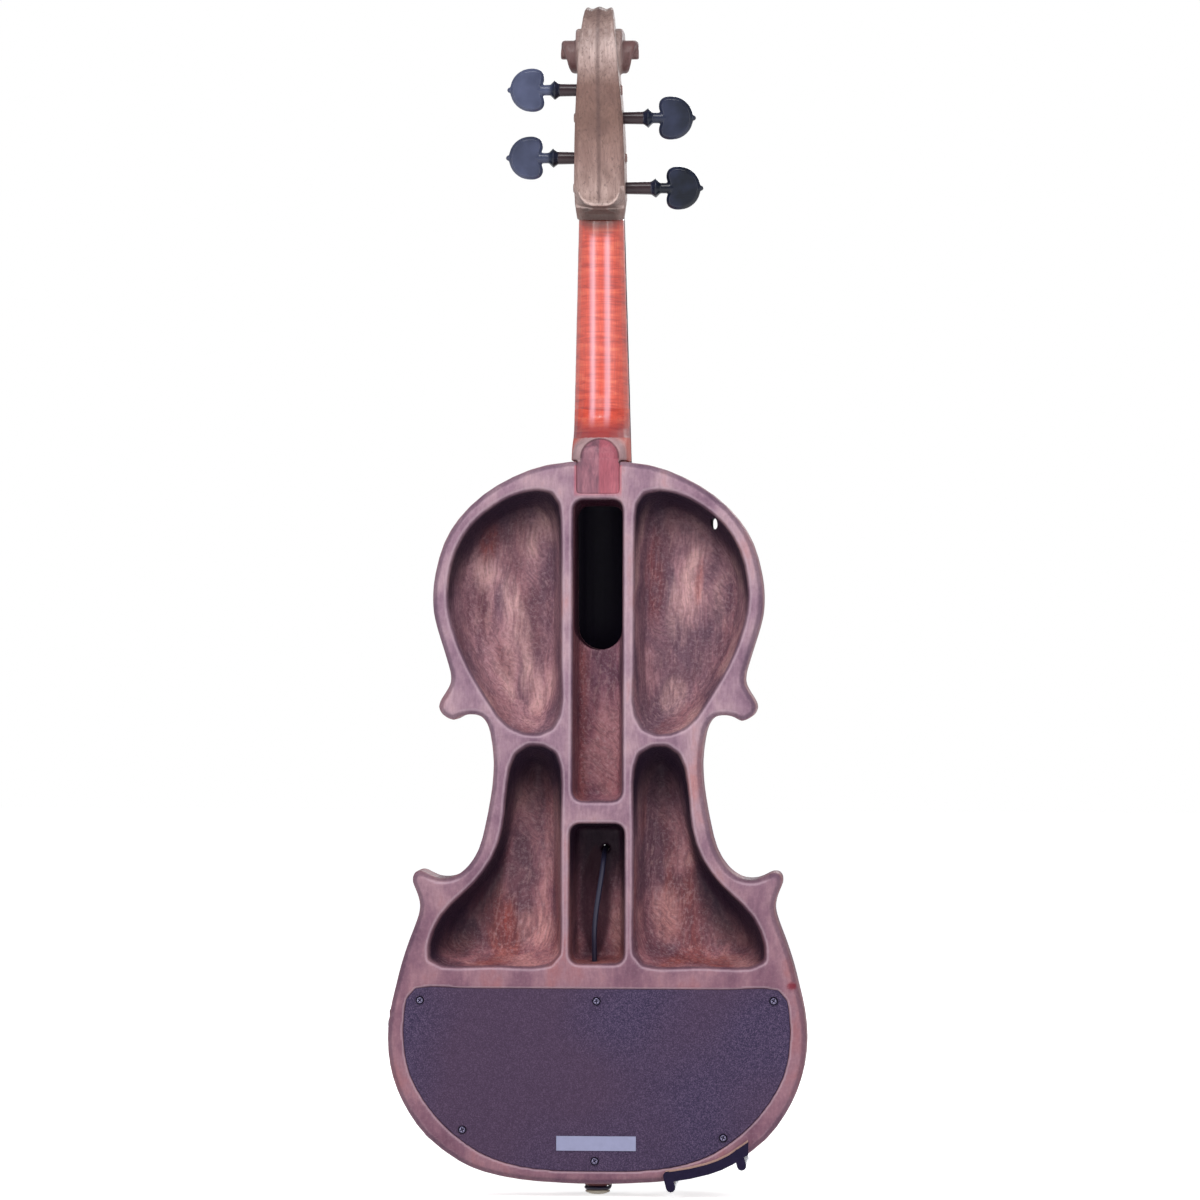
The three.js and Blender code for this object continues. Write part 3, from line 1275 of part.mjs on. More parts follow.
const chinCup = turned(chinProfileShares.map(([r, h]) => [r * chin.half, h * chin.half]), 'y', chin.sides);
chinCup.scale(1, 1, chin.halfAlong / chin.half);
const [nearInset, farInset] = clamp.upperInset;
const chinFoot = slab(band(nearInset, farInset), clamp.upperPlate[1] + seatGap, clamp.footTop);
const chinShelf = slab(band(nearInset, clamp.shelfInset), ...clamp.shelf, clamp.shelfRound);
const chinAt = ofBody(chin.shares);
place('chinrest', join(at(chinCup, chinAt.x, chin.base, chinAt.y), chinFoot, chinShelf), blackPlastic);
place('chinrest_cork', cut(slab(band(nearInset, farInset), body.edge + seatGap, clamp.corkTop),
  at(archedBlock(), 0, seatGap, 0)), cork);
const upperBand = band(nearInset, farInset);
const footBand = band(0, clamp.footInset);
const plateTo = clamp.upperPlate[1];
place('clamp_upper', clampPlate(upperBand, clamp.upperPlate, clamp.upperPostEnd, plateTo), steel);
place('clamp_foot', clampPlate(footBand, clamp.footPlate, clamp.footPlate[0], clamp.lowerPostEnd), darkSteel);
place('clamp_foot_cork', slab(band(0, clamp.footCorkInset, seatGap), ...clamp.footCork), cork);
postPlaces.forEach((post, i) => {
  const shell = turned([
    [clamp.barrelBore, clamp.barrelFrom], [clamp.barrel, clamp.barrelFrom], [clamp.barrel, clamp.barrelTo],
    [clamp.barrelBore, clamp.barrelTo], [clamp.barrelBore, clamp.barrelFrom],
  ], 'y', clamp.barrelSides);
  const middle = (clamp.barrelFrom + clamp.barrelTo) / 2;
  const hole = at(rod(clamp.crossHole, -overrun, overrun, 'x', screwSides), 0, middle, 0);
  place(`clamp_barrel_${i + 1}`, cut(shell, hole), steel).position.set(post.x, 0, post.y);
});

export default violin;
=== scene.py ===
"""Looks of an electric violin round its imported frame. Metres, Z up, the back faces -Y."""

import json
import math

import bmesh
import bpy
import numpy as np
from mathutils import Matrix, Vector


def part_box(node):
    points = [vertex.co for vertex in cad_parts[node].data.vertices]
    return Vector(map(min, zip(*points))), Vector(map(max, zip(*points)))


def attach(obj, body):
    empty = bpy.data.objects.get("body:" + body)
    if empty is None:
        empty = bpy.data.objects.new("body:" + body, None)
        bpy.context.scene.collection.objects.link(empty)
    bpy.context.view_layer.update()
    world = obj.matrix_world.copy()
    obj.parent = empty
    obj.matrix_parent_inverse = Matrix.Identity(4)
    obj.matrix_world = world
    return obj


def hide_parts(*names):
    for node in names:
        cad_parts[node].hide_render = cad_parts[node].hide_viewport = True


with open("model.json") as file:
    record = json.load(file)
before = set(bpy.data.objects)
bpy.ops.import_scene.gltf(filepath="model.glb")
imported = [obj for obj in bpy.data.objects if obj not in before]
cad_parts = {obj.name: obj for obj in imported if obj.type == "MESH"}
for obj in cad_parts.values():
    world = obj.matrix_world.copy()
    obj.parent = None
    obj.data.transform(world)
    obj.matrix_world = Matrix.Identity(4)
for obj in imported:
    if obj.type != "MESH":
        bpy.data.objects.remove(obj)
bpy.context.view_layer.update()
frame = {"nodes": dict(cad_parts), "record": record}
NODES = frame["nodes"]
BODY_OF = {node: body for body, nodes in frame["record"]["behaviour"]["bodies"].items() for node in nodes}
SLOT_OF = {part["node"]: part["material_slot"] for part in frame["record"]["subparts"]}
MM = 0.001
STRINGS = "gdae"

# Camera

FRAME_WIDTH = 589.9 * MM      # width of the photograph at the back plane
CENTRE = Vector((1.2 * MM, 0, 104.3 * MM))
AZIMUTH = math.radians(3)
ROLL = math.radians(-0.16)
LENS = 200
SENSOR = 36
CLIP_START = 0.01


def make_camera():
    camera = bpy.data.objects.new("camera", bpy.data.cameras.new("camera"))
    camera.data.lens = LENS
    camera.data.sensor_width = SENSOR
    camera.data.clip_start = CLIP_START
    distance = FRAME_WIDTH * LENS / SENSOR
    camera.location = CENTRE + distance * Vector((math.sin(AZIMUTH), -math.cos(AZIMUTH), 0))
    camera.rotation_euler = (math.pi / 2, ROLL, AZIMUTH)
    bpy.context.scene.collection.objects.link(camera)
    bpy.context.scene.camera = camera


make_camera()

# Meshes

WELD = 1e-6
SMOOTHING = 0.5


def show(name, mesh, body, slot, *nodes):
    piece = bpy.data.objects.new(name, mesh)
    bpy.context.scene.collection.objects.link(piece)
    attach(piece, body)
    if nodes:
        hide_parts(*nodes)
    return piece


def mesh_of(work, name):
    """The mesh of a bmesh, which is freed."""
    mesh = bpy.data.meshes.new(name)
    work.to_mesh(mesh)
    work.free()
    return mesh


def welded(node):
    """The solid of a CAD node as one mesh with shared corners."""
    source = NODES[node]
    work = bmesh.new()
    work.from_mesh(source.data)
    work.transform(source.matrix_world)
    bmesh.ops.remove_doubles(work, verts=work.verts, dist=WELD)
    bmesh.ops.recalc_face_normals(work, faces=work.faces)
    return mesh_of(work, node)


def with_modifiers(mesh, *modifiers):
    """The mesh after modifiers of (kind, {property: value})."""
    holder = bpy.data.objects.new("holder", mesh)
    bpy.context.scene.collection.objects.link(holder)
    for kind, values in modifiers:
        modifier = holder.modifiers.new(kind.lower(), kind)
        for key, value in values.items():
            setattr(modifier, key, value)
    graph = bpy.context.evaluated_depsgraph_get()
    result = bpy.data.meshes.new_from_object(holder.evaluated_get(graph))
    bpy.data.objects.remove(holder)
    return result


def carved(node, voxel, rounds, crisp=None):
    """The solid with rounded edges and no facets; crisp tells where edges stay nearly sharp, 0 to 1."""
    mesh = with_modifiers(welded(node), ("REMESH", {"mode": "VOXEL", "voxel_size": voxel * MM}),
                          ("SMOOTH", {"factor": SMOOTHING, "iterations": 1}))
    sharp = points_of(mesh)
    mesh = with_modifiers(mesh, ("SMOOTH", {"factor": SMOOTHING, "iterations": rounds - 1}))
    if crisp:
        soft = points_of(mesh)
        set_points(mesh, soft + (sharp - soft) * crisp(*sharp.T / MM)[:, None])
    mesh.shade_smooth()
    return mesh


def machined(node, bevel, angle=32):
    """The solid with small round edges, smooth across its facets."""
    mesh = with_modifiers(welded(node), ("BEVEL", {
        "width": bevel * MM, "segments": 2, "limit_method": "ANGLE", "angle_limit": math.radians(angle),
        "use_clamp_overlap": True}))
    mesh.shade_smooth()
    mesh.set_sharp_from_angle(angle=math.radians(angle))
    return with_modifiers(mesh, ("WEIGHTED_NORMAL", {"mode": "FACE_AREA", "keep_sharp": True}))


def dress(node, mesh, material):
    mesh.materials.clear()
    mesh.materials.append(material)
    return show("dressed_" + node, mesh, BODY_OF[node], SLOT_OF[node], node)


def points_of(mesh):
    points = np.empty(len(mesh.vertices) * 3)
    mesh.vertices.foreach_get("co", points)
    return points.reshape(-1, 3)


def normals_of(mesh):
    normals = np.empty(len(mesh.vertices) * 3)
    mesh.vertex_normals.foreach_get("vector", normals)
    return normals.reshape(-1, 3)


def set_points(mesh, points):
    mesh.vertices.foreach_set("co", points.ravel())
    mesh.update()


def store(mesh, name, values):
    layer = mesh.attributes.new(name, "FLOAT", "POINT")
    layer.data.foreach_set("value", values.astype(np.float32))


def smoothstep(low, high, value):
    t = np.clip((value - low) / (high - low), 0, 1)
    return t * t * (3 - 2 * t)


def between(rise, fall, value):
    """0 below the rise, 1 from its end to the start of the fall, 0 above that."""
    return smoothstep(*rise, value) * (1 - smoothstep(*fall, value))


# Materials


class Look:
    """A material and short calls for its nodes."""

    def __init__(self, name, **values):
        self.material = bpy.data.materials.new(name)
        self.material.use_nodes = True
        self.tree = self.material.node_tree
        self.shader = self.tree.nodes["Principled BSDF"]
        for key, value in values.items():
            self.shader.inputs[key.replace("_", " ").title().replace("Ior", "IOR")].default_value = value

    def add(self, kind, inputs, **properties):
        node = self.tree.nodes.new("ShaderNode" + kind)
        for key, value in properties.items():
            setattr(node, key, value)
        for key, value in inputs.items():
            if isinstance(value, bpy.types.NodeSocket):
                self.tree.links.new(value, node.inputs[key])
            elif value is not None:
                node.inputs[key].default_value = value
        return node

    def place(self, scale=(1, 1, 1), turn=(0, 0, 0)):
        """Places on the object, in millimetres times scale."""
        source = self.add("TexCoord", {}).outputs["Object"]
        return self.add("Mapping", {"Vector": source, "Scale": [s / MM for s in scale],
                                    "Rotation": turn}).outputs["Vector"]

    def scaled(self, places, scale):
        return self.add("Mapping", {"Vector": places, "Scale": scale}).outputs["Vector"]

    def noise(self, vector, scale, detail=2, rough=0.5, distortion=0):
        return self.add("TexNoise", {"Vector": vector, "Scale": scale, "Detail": detail, "Roughness": rough,
                                     "Distortion": distortion}).outputs["Fac"]

    def figure(self, stretch, *noise):
        """A noise over the object, drawn out where stretch is small."""
        return self.noise(self.place(stretch), *noise)

    def ramp(self, value, *stops):
        node = self.add("ValToRGB", {"Fac": value})
        ramp = node.color_ramp
        while len(ramp.elements) < len(stops):
            ramp.elements.new(0.5)
        for element, (place, colour) in zip(ramp.elements, stops):
            element.position = place
            element.color = (*colour, 1) if isinstance(colour, tuple) else (colour, colour, colour, 1)
        return node.outputs["Color"]

    def mix(self, factor, a, b, blend="MIX"):
        node = self.add("Mix", {}, data_type="RGBA", blend_type=blend)
        for index, value in ((0, factor), (6, a), (7, b)):
            if isinstance(value, bpy.types.NodeSocket):
                self.tree.links.new(value, node.inputs[index])
            else:
                node.inputs[index].default_value = (*value, 1) if isinstance(value, tuple) else value
        return node.outputs[2]

    def tinted(self, base, colour, weight, amount=None):
        """The base with a colour over it, as far as the weight, or a share of it, says."""
        return self.mix(weight if amount is None else self.times(weight, amount), base, colour)

    def stained(self, base, colour, weight):
        """The base multiplied by a colour, as far as the weight says."""
        return self.mix(weight, base, self.mix(1.0, base, colour, "MULTIPLY"))

    def maths(self, operation, a, b=None):
        return self.add("Math", {0: a, 1: b}, operation=operation).outputs[0]

    def times(self, a, b):
        return self.maths("MULTIPLY", a, b)

    def to_range(self, value, low, high):
        """A value from 0 to 1, spread from low to high."""
        return self.add("MapRange", {"Value": value, "To Min": low, "To Max": high}).outputs["Result"]

    def from_range(self, value, low, high):
        """A value from low to high, brought to 0 to 1."""
        return self.add("MapRange", {"Value": value, "From Min": low, "From Max": high}).outputs["Result"]

    def attribute(self, name):
        return self.add("Attribute", {}, attribute_name=name).outputs["Fac"]

    def axis(self, name):
        return self.add("SeparateXYZ", {"Vector": self.place()}).outputs[name]

    def colour(self, socket):
        self.tree.links.new(socket, self.shader.inputs["Base Color"])

    def roughness(self, value, low, high):
        self.tree.links.new(self.to_range(value, low, high), self.shader.inputs["Roughness"])

    def bump(self, height, depth, strength=1.0):
        """depth in millimetres"""
        node = self.add("Bump", {"Height": height, "Distance": depth * MM, "Strength": strength})
        self.tree.links.new(node.outputs["Normal"], self.shader.inputs["Normal"])


def srgb(red, green, blue):
    """A colour as seen, 0 to 255, to the linear value that the shader takes."""
    return tuple((c / 255 / 12.92) if c <= 10 else ((c / 255 + 0.055) / 1.055) ** 2.4
                 for c in (red, green, blue))


def warped(look, wave, swing, turn=0.0):
    """Places pushed about by a slow noise, so that what is drawn along Z bends: wave and swing in mm."""
    plain = look.place(turn=(0, turn, 0))
    slow = look.add("TexNoise", {"Vector": plain, "Scale": 1 / wave, "Detail": 1.0}).outputs["Color"]
    centred = look.add("VectorMath", {0: slow, 1: (0.5, 0.5, 0.5)}, operation="SUBTRACT").outputs[0]
    push = look.add("VectorMath", {0: centred, "Scale": 2 * swing}, operation="SCALE").outputs[0]
    return look.add("VectorMath", {0: plain, 1: push}, operation="ADD").outputs[0]


def strokes(look, places, width, length, low, high):
    """Hair-like strokes along Z: 0 between them, 1 in their middle."""
    stretched = look.scaled(places, (1 / width, 1 / width, 1 / length))
    return look.ramp(look.noise(stretched, 1.0, 3, 0.6), (low, 0.0), (high, 1.0))


# The carved wood: colours as seen, and what its mesh tells about each place

FLOOR_SHADES = srgb(114, 84, 98), srgb(142, 103, 115), srgb(176, 130, 138), srgb(208, 162, 162)
RED_SHADES = srgb(120, 64, 66), srgb(170, 102, 94)
BRIGHT_PATCH, DARK_PATCH, RUDDY_PATCH = srgb(224, 178, 176), srgb(84, 60, 78), srgb(166, 86, 80)
LOW_FLOOR = srgb(236, 206, 206)
MIDDLE_FLOOR = srgb(232, 216, 228)
FLOOR_HAIR = srgb(74, 46, 60)
FLOOR_GLINT = srgb(222, 176, 174)
RIM_SHADES = srgb(124, 93, 113), srgb(153, 121, 138), srgb(182, 150, 160), srgb(186, 135, 137)
LOW_RIM_SHADE = srgb(216, 192, 198)
RIM_GRAIN = srgb(104, 78, 92)
LIP_HIGHLIGHT = srgb(206, 178, 190)
OUTER_EDGE_SHADE = srgb(82, 60, 80)
RIM_SPOT = srgb(124, 30, 48)
SIDE_WOOD = srgb(122, 88, 96)
LIGHT_MOTTLE, DARK_MOTTLE = srgb(222, 190, 196), srgb(60, 38, 50)
WALL_SHADE = srgb(60, 42, 58)
ROOF_SHADE = srgb(26, 13, 32)
# painted shade: the cable's shadow, the dark cable bay and the dark slot
DEEP_SHADE = srgb(54, 20, 36)
MOUTH_SHADE = srgb(58, 40, 54)
SEAT_WOOD = srgb(186, 84, 96)
LEAN = math.radians(40)       # of the feathered strokes
GLINT_LEAN = math.radians(-8)
BODY_MARKS = ("hollow", "wall", "side", "roof", "mouth", "lip", "outer", "low", "gouge", "spot", "streak",
              "seat", "middle", "bright", "ruddy")


def pocket_floor(look, marks):
    """The wood in the hollows and the strokes drawn on it."""
    blotch = look.noise(look.scaled(warped(look, 30, 12), (1, 1, 0.42)), 0.05, 2, 0.5)
    floor = look.ramp(blotch, *zip((0.36, 0.45, 0.54, 0.64), FLOOR_SHADES))
    red = look.ramp(look.figure((1.5, 1, 0.4), 0.035, 2, 0.5), (0.5, 0.0), (0.62, 1.0))
    shade = look.ramp(look.figure((1, 1, 0.2), 0.16, 2, 0.5), *zip((0.35, 0.65), RED_SHADES))
    reddest = look.times(red, look.to_range(marks["low"], 0.25, 0.85))
    floor = look.mix(look.maths("MAXIMUM", reddest, marks["streak"]), floor, shade)
    fray = look.ramp(look.figure((1, 1, 0.25), 0.25, 3, 0.6), (0.34, 0.25), (0.58, 1.0))
    brighter, ruddier = marks["bright"], marks["ruddy"]
    darker = look.times(brighter, -1.0)
    for weight, colour in ((brighter, BRIGHT_PATCH), (darker, DARK_PATCH), (ruddier, RUDDY_PATCH)):
        floor = look.tinted(floor, colour, look.maths("MAXIMUM", weight, 0.0), fray)
    choice = look.ramp(look.figure((1, 1, 0.6), 0.03, 1), (0.46, 0.0), (0.53, 1.0))
    hair = look.mix(choice, strokes(look, warped(look, 15, 3), 1.5, 15, 0.45, 0.58),
                    strokes(look, warped(look, 9, 4.2, LEAN), 1.5, 9, 0.46, 0.58))
    glint = look.mix(choice, strokes(look, warped(look, 17, 3, GLINT_LEAN), 1.3, 14, 0.55, 0.66),
                     strokes(look, warped(look, 9, 4.2, LEAN), 1.2, 8, 0.58, 0.68))
    floor = look.stained(floor, LOW_FLOOR, marks["low"])
    floor = look.stained(floor, MIDDLE_FLOOR, marks["middle"])
    floor = look.tinted(floor, FLOOR_HAIR, hair, 0.36)
    return look.tinted(floor, FLOOR_GLINT, glint, 0.17), hair


def rim_wood(look, marks):
    """The wood of the rim and the webs and its grain, with painted shade towards the bottom and along the
    outer edge, and a painted highlight along the pockets' lips.
    """
    tint = look.figure((1, 1, 0.6), 0.035, 4, 0.62)
    grain = strokes(look, warped(look, 14, 1.5), 1.1, 7, 0.42, 0.62)
    rim = look.ramp(tint, *zip((0.34, 0.45, 0.56, 0.68), RIM_SHADES))
    # painted shade: the rim darker and a little redder towards the bottom
    rim = look.stained(rim, LOW_RIM_SHADE, marks["low"])
    rim = look.tinted(rim, RIM_GRAIN, grain, 0.16)
    # painted highlight along the rounded lips of the pockets
    rim = look.tinted(rim, LIP_HIGHLIGHT, marks["lip"], 0.4)
    # painted shade along the body's rounded outer edge
    rim = look.tinted(rim, OUTER_EDGE_SHADE, marks["outer"], 0.5)
    return look.tinted(rim, RIM_SPOT, marks["spot"]), grain


def carved_wood():
    look = Look("carved_wood", roughness=0.6, specular_ior_level=0.2)
    marks = {name: look.attribute(name) for name in BODY_MARKS}
    floor, hair = pocket_floor(look, marks)
    rim, grain = rim_wood(look, marks)
    base = look.mix(marks["hollow"], rim, floor)
    base = look.mix(marks["side"], base, look.mix(0.5, floor, SIDE_WOOD))
    mottle = look.noise(look.place(), 0.6, 3, 0.7)
    strength = look.to_range(marks["hollow"], 0.1, 0.26)
    base = look.tinted(base, LIGHT_MOTTLE, look.ramp(mottle, (0.5, 0.0), (0.75, 1.0)), strength)
    base = look.tinted(base, DARK_MOTTLE, look.ramp(mottle, (0.28, 1.0), (0.5, 0.0)), strength)
    base = look.tinted(base, WALL_SHADE, marks["wall"], 0.8)
    base = look.tinted(base, ROOF_SHADE, marks["roof"])
    # painted shade round the cable, in its bay and down the slot
    base = look.tinted(base, DEEP_SHADE, marks["gouge"])
    base = look.tinted(base, MOUTH_SHADE, marks["mouth"])
    base = look.tinted(base, look.mix(0.5, base, SEAT_WOOD), marks["seat"])
    look.colour(base)
    look.roughness(grain, 0.5, 0.66)
    look.bump(hair, 0.12, 0.5)
    return look.material


# The neck: heights in mm between which painted shade darkens its back, as a shadow under the chin and where
# it bends into the heel

NECK_TOP = 283.0, 290.0
NECK_FOOT = 184.0, 196.0
NECK_BOWL = 0.055             # how far the painted shadow under the chin sags across the neck, per mm
FLAME_SHADES = srgb(176, 44, 32), srgb(212, 68, 44), srgb(230, 86, 60), srgb(238, 114, 80)
NECK_FIBRE = srgb(172, 44, 46)
NECK_HIGHLIGHT = srgb(240, 178, 192)
CHIN_SHADOW = srgb(112, 44, 30)
HEEL_BEND_SHADE = srgb(116, 34, 50)


def neck_wood(name, coat):
    look = Look(name, roughness=0.45, specular_ior_level=0.3, coat_weight=coat, coat_roughness=0.3,
                coat_ior=1.8)
    flame = look.figure((0.1, 0.16, 1), 0.42, 3, 0.6, 0.6)
    fibre = look.figure((2, 2, 0.1), 0.8, 2, 0.6)
    base = look.ramp(flame, *zip((0.3, 0.44, 0.56, 0.7), FLAME_SHADES))
    base = look.tinted(base, NECK_FIBRE, look.ramp(fibre, (0.42, 0.0), (0.7, 1.0)), 0.35)
    # painted highlight: two soft bands along the neck's back
    base = look.tinted(base, NECK_HIGHLIGHT, look.attribute("polish"), 0.55)
    height, across = look.axis("Z"), look.axis("X")
    bowl = look.maths("SUBTRACT", height, look.times(NECK_BOWL, look.times(across, across)))
    # painted shadow under the chin
    base = look.tinted(base, CHIN_SHADOW, look.from_range(bowl, *NECK_TOP))
    # painted shade where the neck bends into the heel
    dark = look.ramp(look.from_range(height, *NECK_FOOT), (0.0, 1.0), (0.3, 0.9), (1.0, 0.0))
    base = look.tinted(base, HEEL_BEND_SHADE, dark, 0.75)
    look.colour(base)
    look.bump(fibre, 0.04, 0.4)
    return look.material


HEEL_SHADES = srgb(112, 74, 88), srgb(142, 92, 106), srgb(168, 112, 124)
HEEL_RIGHT = srgb(182, 84, 98)
HEEL_GRAIN = srgb(104, 60, 74)
BESIDE_SHADES = srgb(142, 112, 114), srgb(206, 176, 176)
HEEL_FLANK = srgb(190, 84, 70)
HEEL_ARCH = srgb(70, 38, 46)


def heel_wood():
    """The heel's back and the tenon: an arch of mauve-pink wood between pale sides, redder to the right."""
    look = Look("heel_wood", roughness=0.6)
    patch = look.figure((1, 1, 0.4), 0.2, 3, 0.6, 0.4)
    grain = strokes(look, warped(look, 9, 1.0), 0.8, 7, 0.42, 0.62)
    right = look.ramp(look.axis("X"), (0.0, 0.0), (1.0, 1.0))
    base = look.ramp(patch, *zip((0.36, 0.52, 0.66), HEEL_SHADES))
    base = look.tinted(base, HEEL_RIGHT, right, 0.6)
    base = look.tinted(base, HEEL_GRAIN, grain, 0.3)
    base = look.tinted(base, look.mix(patch, *BESIDE_SHADES), look.attribute("beside"))
    base = look.tinted(base, HEEL_FLANK, look.attribute("flank"))
    base = look.tinted(base, HEEL_ARCH, look.attribute("arch"))
    look.colour(base)
    look.roughness(grain, 0.5, 0.7)
    look.bump(grain, 0.08, 0.5)
    return look.material


HEAD_HEIGHTS = 290.0, 400.0   # in mm: where the zones below start and end
HEAD_ZONES = (
    (0.0, srgb(128, 102, 94)), (0.14, srgb(182, 154, 146)), (0.28, srgb(160, 128, 120)),
    (0.44, srgb(126, 94, 84)), (0.6, srgb(140, 106, 96)), (0.78, srgb(206, 182, 176)),
    (0.9, srgb(158, 134, 126)), (1.0, srgb(104, 84, 78)),
)
HEAD_PATCH = srgb(98, 68, 62)
HEAD_GRAIN = srgb(98, 72, 66)
HEAD_RIDGE = srgb(84, 60, 58)
EAR_SHADES = srgb(54, 30, 34), srgb(112, 66, 66)
CHIN_SHADE = srgb(66, 46, 42)
BRIM_HIGHLIGHT = srgb(226, 200, 192)
HEAD_SPECK = srgb(74, 50, 48)


def head_wood():
    look = Look("head_wood", roughness=0.55)
    zones = look.ramp(look.from_range(look.axis("Z"), *HEAD_HEIGHTS), *HEAD_ZONES)
    patch = look.figure((1, 1, 0.5), 0.08, 3, 0.6, 0.5)
    grain = strokes(look, warped(look, 18, 1.5), 0.9, 18, 0.42, 0.62)
    speck = look.ramp(look.figure((1, 1, 0.6), 0.8, 3, 0.7), (0.54, 0.0), (0.68, 1.0))
    base = look.tinted(zones, HEAD_PATCH, look.ramp(patch, (0.42, 0.0), (0.62, 0.55)))
    base = look.tinted(base, HEAD_GRAIN, grain, 0.3)
    base = look.tinted(base, HEAD_RIDGE, look.attribute("ridge"))
    base = look.tinted(base, look.mix(patch, *EAR_SHADES), look.attribute("ear"))
    # painted shade under the chin, and a painted highlight along the chin's brim
    base = look.tinted(base, CHIN_SHADE, look.attribute("chin"))
    base = look.tinted(base, BRIM_HIGHLIGHT, look.attribute("brim"))
    base = look.tinted(base, HEAD_SPECK, speck, 0.55)
    look.colour(base)
    look.roughness(grain, 0.45, 0.62)
    look.bump(grain, 0.1, 0.6)
    return look.material


def turned_grain(look):
    """Grain along X, the way the pegs lie."""
    return look.figure((0.12, 2, 2), 1.2, 3, 0.6)


def peg_wood():
    """Blue-black, browner along the shaft, and the head's wood where the small end meets the cheek; a painted
    reflection lightens the heads of some pegs.
    """
    look = Look("peg_wood", roughness=0.3, specular_ior_level=0.2, coat_weight=0.25, coat_roughness=0.15)
    grain = turned_grain(look)
    cloud = look.noise(look.place(), 0.09, 2, 0.5)
    dark = look.mix(grain, srgb(8, 12, 24), srgb(20, 26, 40))
    pale = look.mix(cloud, srgb(46, 52, 76), srgb(108, 114, 146))
    shaft = look.mix(grain, srgb(34, 22, 28), srgb(66, 48, 52))
    base = look.tinted(dark, srgb(44, 50, 76), look.ramp(cloud, (0.4, 0.0), (0.65, 0.5)))
    # painted reflection on the peg heads
    base = look.tinted(base, pale, look.attribute("pale"))
    base = look.tinted(base, shaft, look.attribute("shaft"))
    base = look.tinted(base, srgb(140, 110, 104), look.attribute("tip"))
    look.colour(base)
    look.roughness(grain, 0.24, 0.36)
    look.bump(grain, 0.02, 0.5)
    return look.material


def black_wood(name, tint, roughness, specular):
    look = Look(name, roughness=roughness, specular_ior_level=specular)
    grain = turned_grain(look)
    look.colour(look.mix(grain, tuple(0.6 * c for c in tint), tuple(1.5 * c for c in tint)))
    look.roughness(grain, roughness * 0.85, roughness * 1.25)
    look.bump(grain, 0.02, 0.5)
    return look.material


def speckled_plastic():
    look = Look("cover_plastic", roughness=0.6, specular_ior_level=0.3)
    grit = look.noise(look.place(), 1.9, 2, 0.7)
    slow = look.noise(look.place(), 0.012, 1)
    base = look.ramp(grit, (0.34, srgb(32, 22, 52)), (0.5, srgb(58, 44, 76)), (0.66, srgb(98, 80, 108)))
    look.colour(look.tinted(base, srgb(76, 50, 70), look.ramp(slow, (0.4, 0.0), (0.6, 0.45))))
    look.roughness(grit, 0.5, 0.7)
    look.bump(grit, 0.08, 0.6)
    return look.material


def plain_finish(name, colour, roughness, metallic=0.0, grain=1.5, depth=0.02, variation=0.2):
    """A plain surface with the slight unevenness of use."""
    look = Look(name, roughness=roughness, metallic=metallic)
    noise = look.noise(look.place(), grain, 3, 0.6)
    look.colour(look.mix(noise, tuple(c * (1 - variation) for c in colour),
                         tuple(min(1, c * (1 + variation)) for c in colour)))
    look.roughness(noise, roughness * 0.75, min(1, roughness * 1.3))
    look.bump(noise, depth, 0.4)
    return look.material


def screw_finish():
    """Painted shade at the head's edge and in its recess, brighter on the dome."""
    look = Look("screw_steel", roughness=0.3, metallic=1.0)
    noise = look.noise(look.place(), 2.5, 2)
    dome = look.mix(noise, srgb(110, 104, 132), srgb(150, 144, 170))
    look.colour(look.tinted(dome, srgb(26, 20, 38), look.attribute("edge")))
    look.roughness(noise, 0.22, 0.36)
    return look.material


BUTTON_RING = -187.1, -186.6  # heights in mm between which the button's cream turns to its red ring


def bone_finish():
    """Cream tip with a dark red ring at the body."""
    look = Look("bone", roughness=0.35)
    noise = look.noise(look.place(), 0.6, 2)
    cream = look.mix(noise, srgb(196, 184, 160), srgb(226, 218, 200))
    look.colour(look.tinted(cream, srgb(92, 30, 34), look.from_range(look.axis("Z"), *BUTTON_RING)))
    look.bump(noise, 0.03, 0.4)
    return look.material


BODY_WOOD = carved_wood()
NECK_WOOD = neck_wood("neck_wood", 1.0)
NECK_FOOT_WOOD = neck_wood("neck_foot_wood", 0.5)
HEEL_WOOD = heel_wood()
HEAD_WOOD = head_wood()
PEG_WOOD = peg_wood()
EBONY = black_wood("ebony", srgb(15, 10, 26), 0.42, 0.1)
COVER = speckled_plastic()
GLOSS_BLACK = plain_finish("gloss_black", srgb(34, 33, 42), 0.28)
MATT_BLACK = plain_finish("matt_black", srgb(30, 29, 34), 0.5)
BRIGHT_STEEL = plain_finish("bright_steel", (0.62, 0.63, 0.66), 0.25, 1.0, 2.5, 0.01, 0.1)
LABEL = plain_finish("label_steel", srgb(152, 153, 184), 0.5, 0.3, 0.25, 0.02, 0.14)
DARK_STEEL = plain_finish("dark_steel", (0.03, 0.03, 0.036), 0.3, 0.8, 2.5, 0.01)
SCREW_STEEL = screw_finish()
CLAMP_BLACK = plain_finish("clamp_black", (0.018, 0.014, 0.034), 0.22, 1.0, 0.5, 0.02, 0.4)
MAPLE = plain_finish("bare_maple", srgb(206, 168, 116), 0.5, 0.0, 0.8, 0.04)
CORK = plain_finish("cork", srgb(184, 146, 134), 0.9, 0.0, 1.1, 0.3, 0.35)
CIRCUIT = plain_finish("circuit_green", srgb(34, 98, 60), 0.4, 0.0, 0.6, 0.02)
BATTERY = plain_finish("battery_case", srgb(70, 74, 84), 0.35, 0.3)
CORD = plain_finish("cord_black", srgb(28, 25, 50), 0.48)
BONE = bone_finish()

# Body: smooth carved surfaces, with what the wood's look needs to know about each place. All sizes are in mm,
# and each pair of a fade gives where it starts and where it ends.

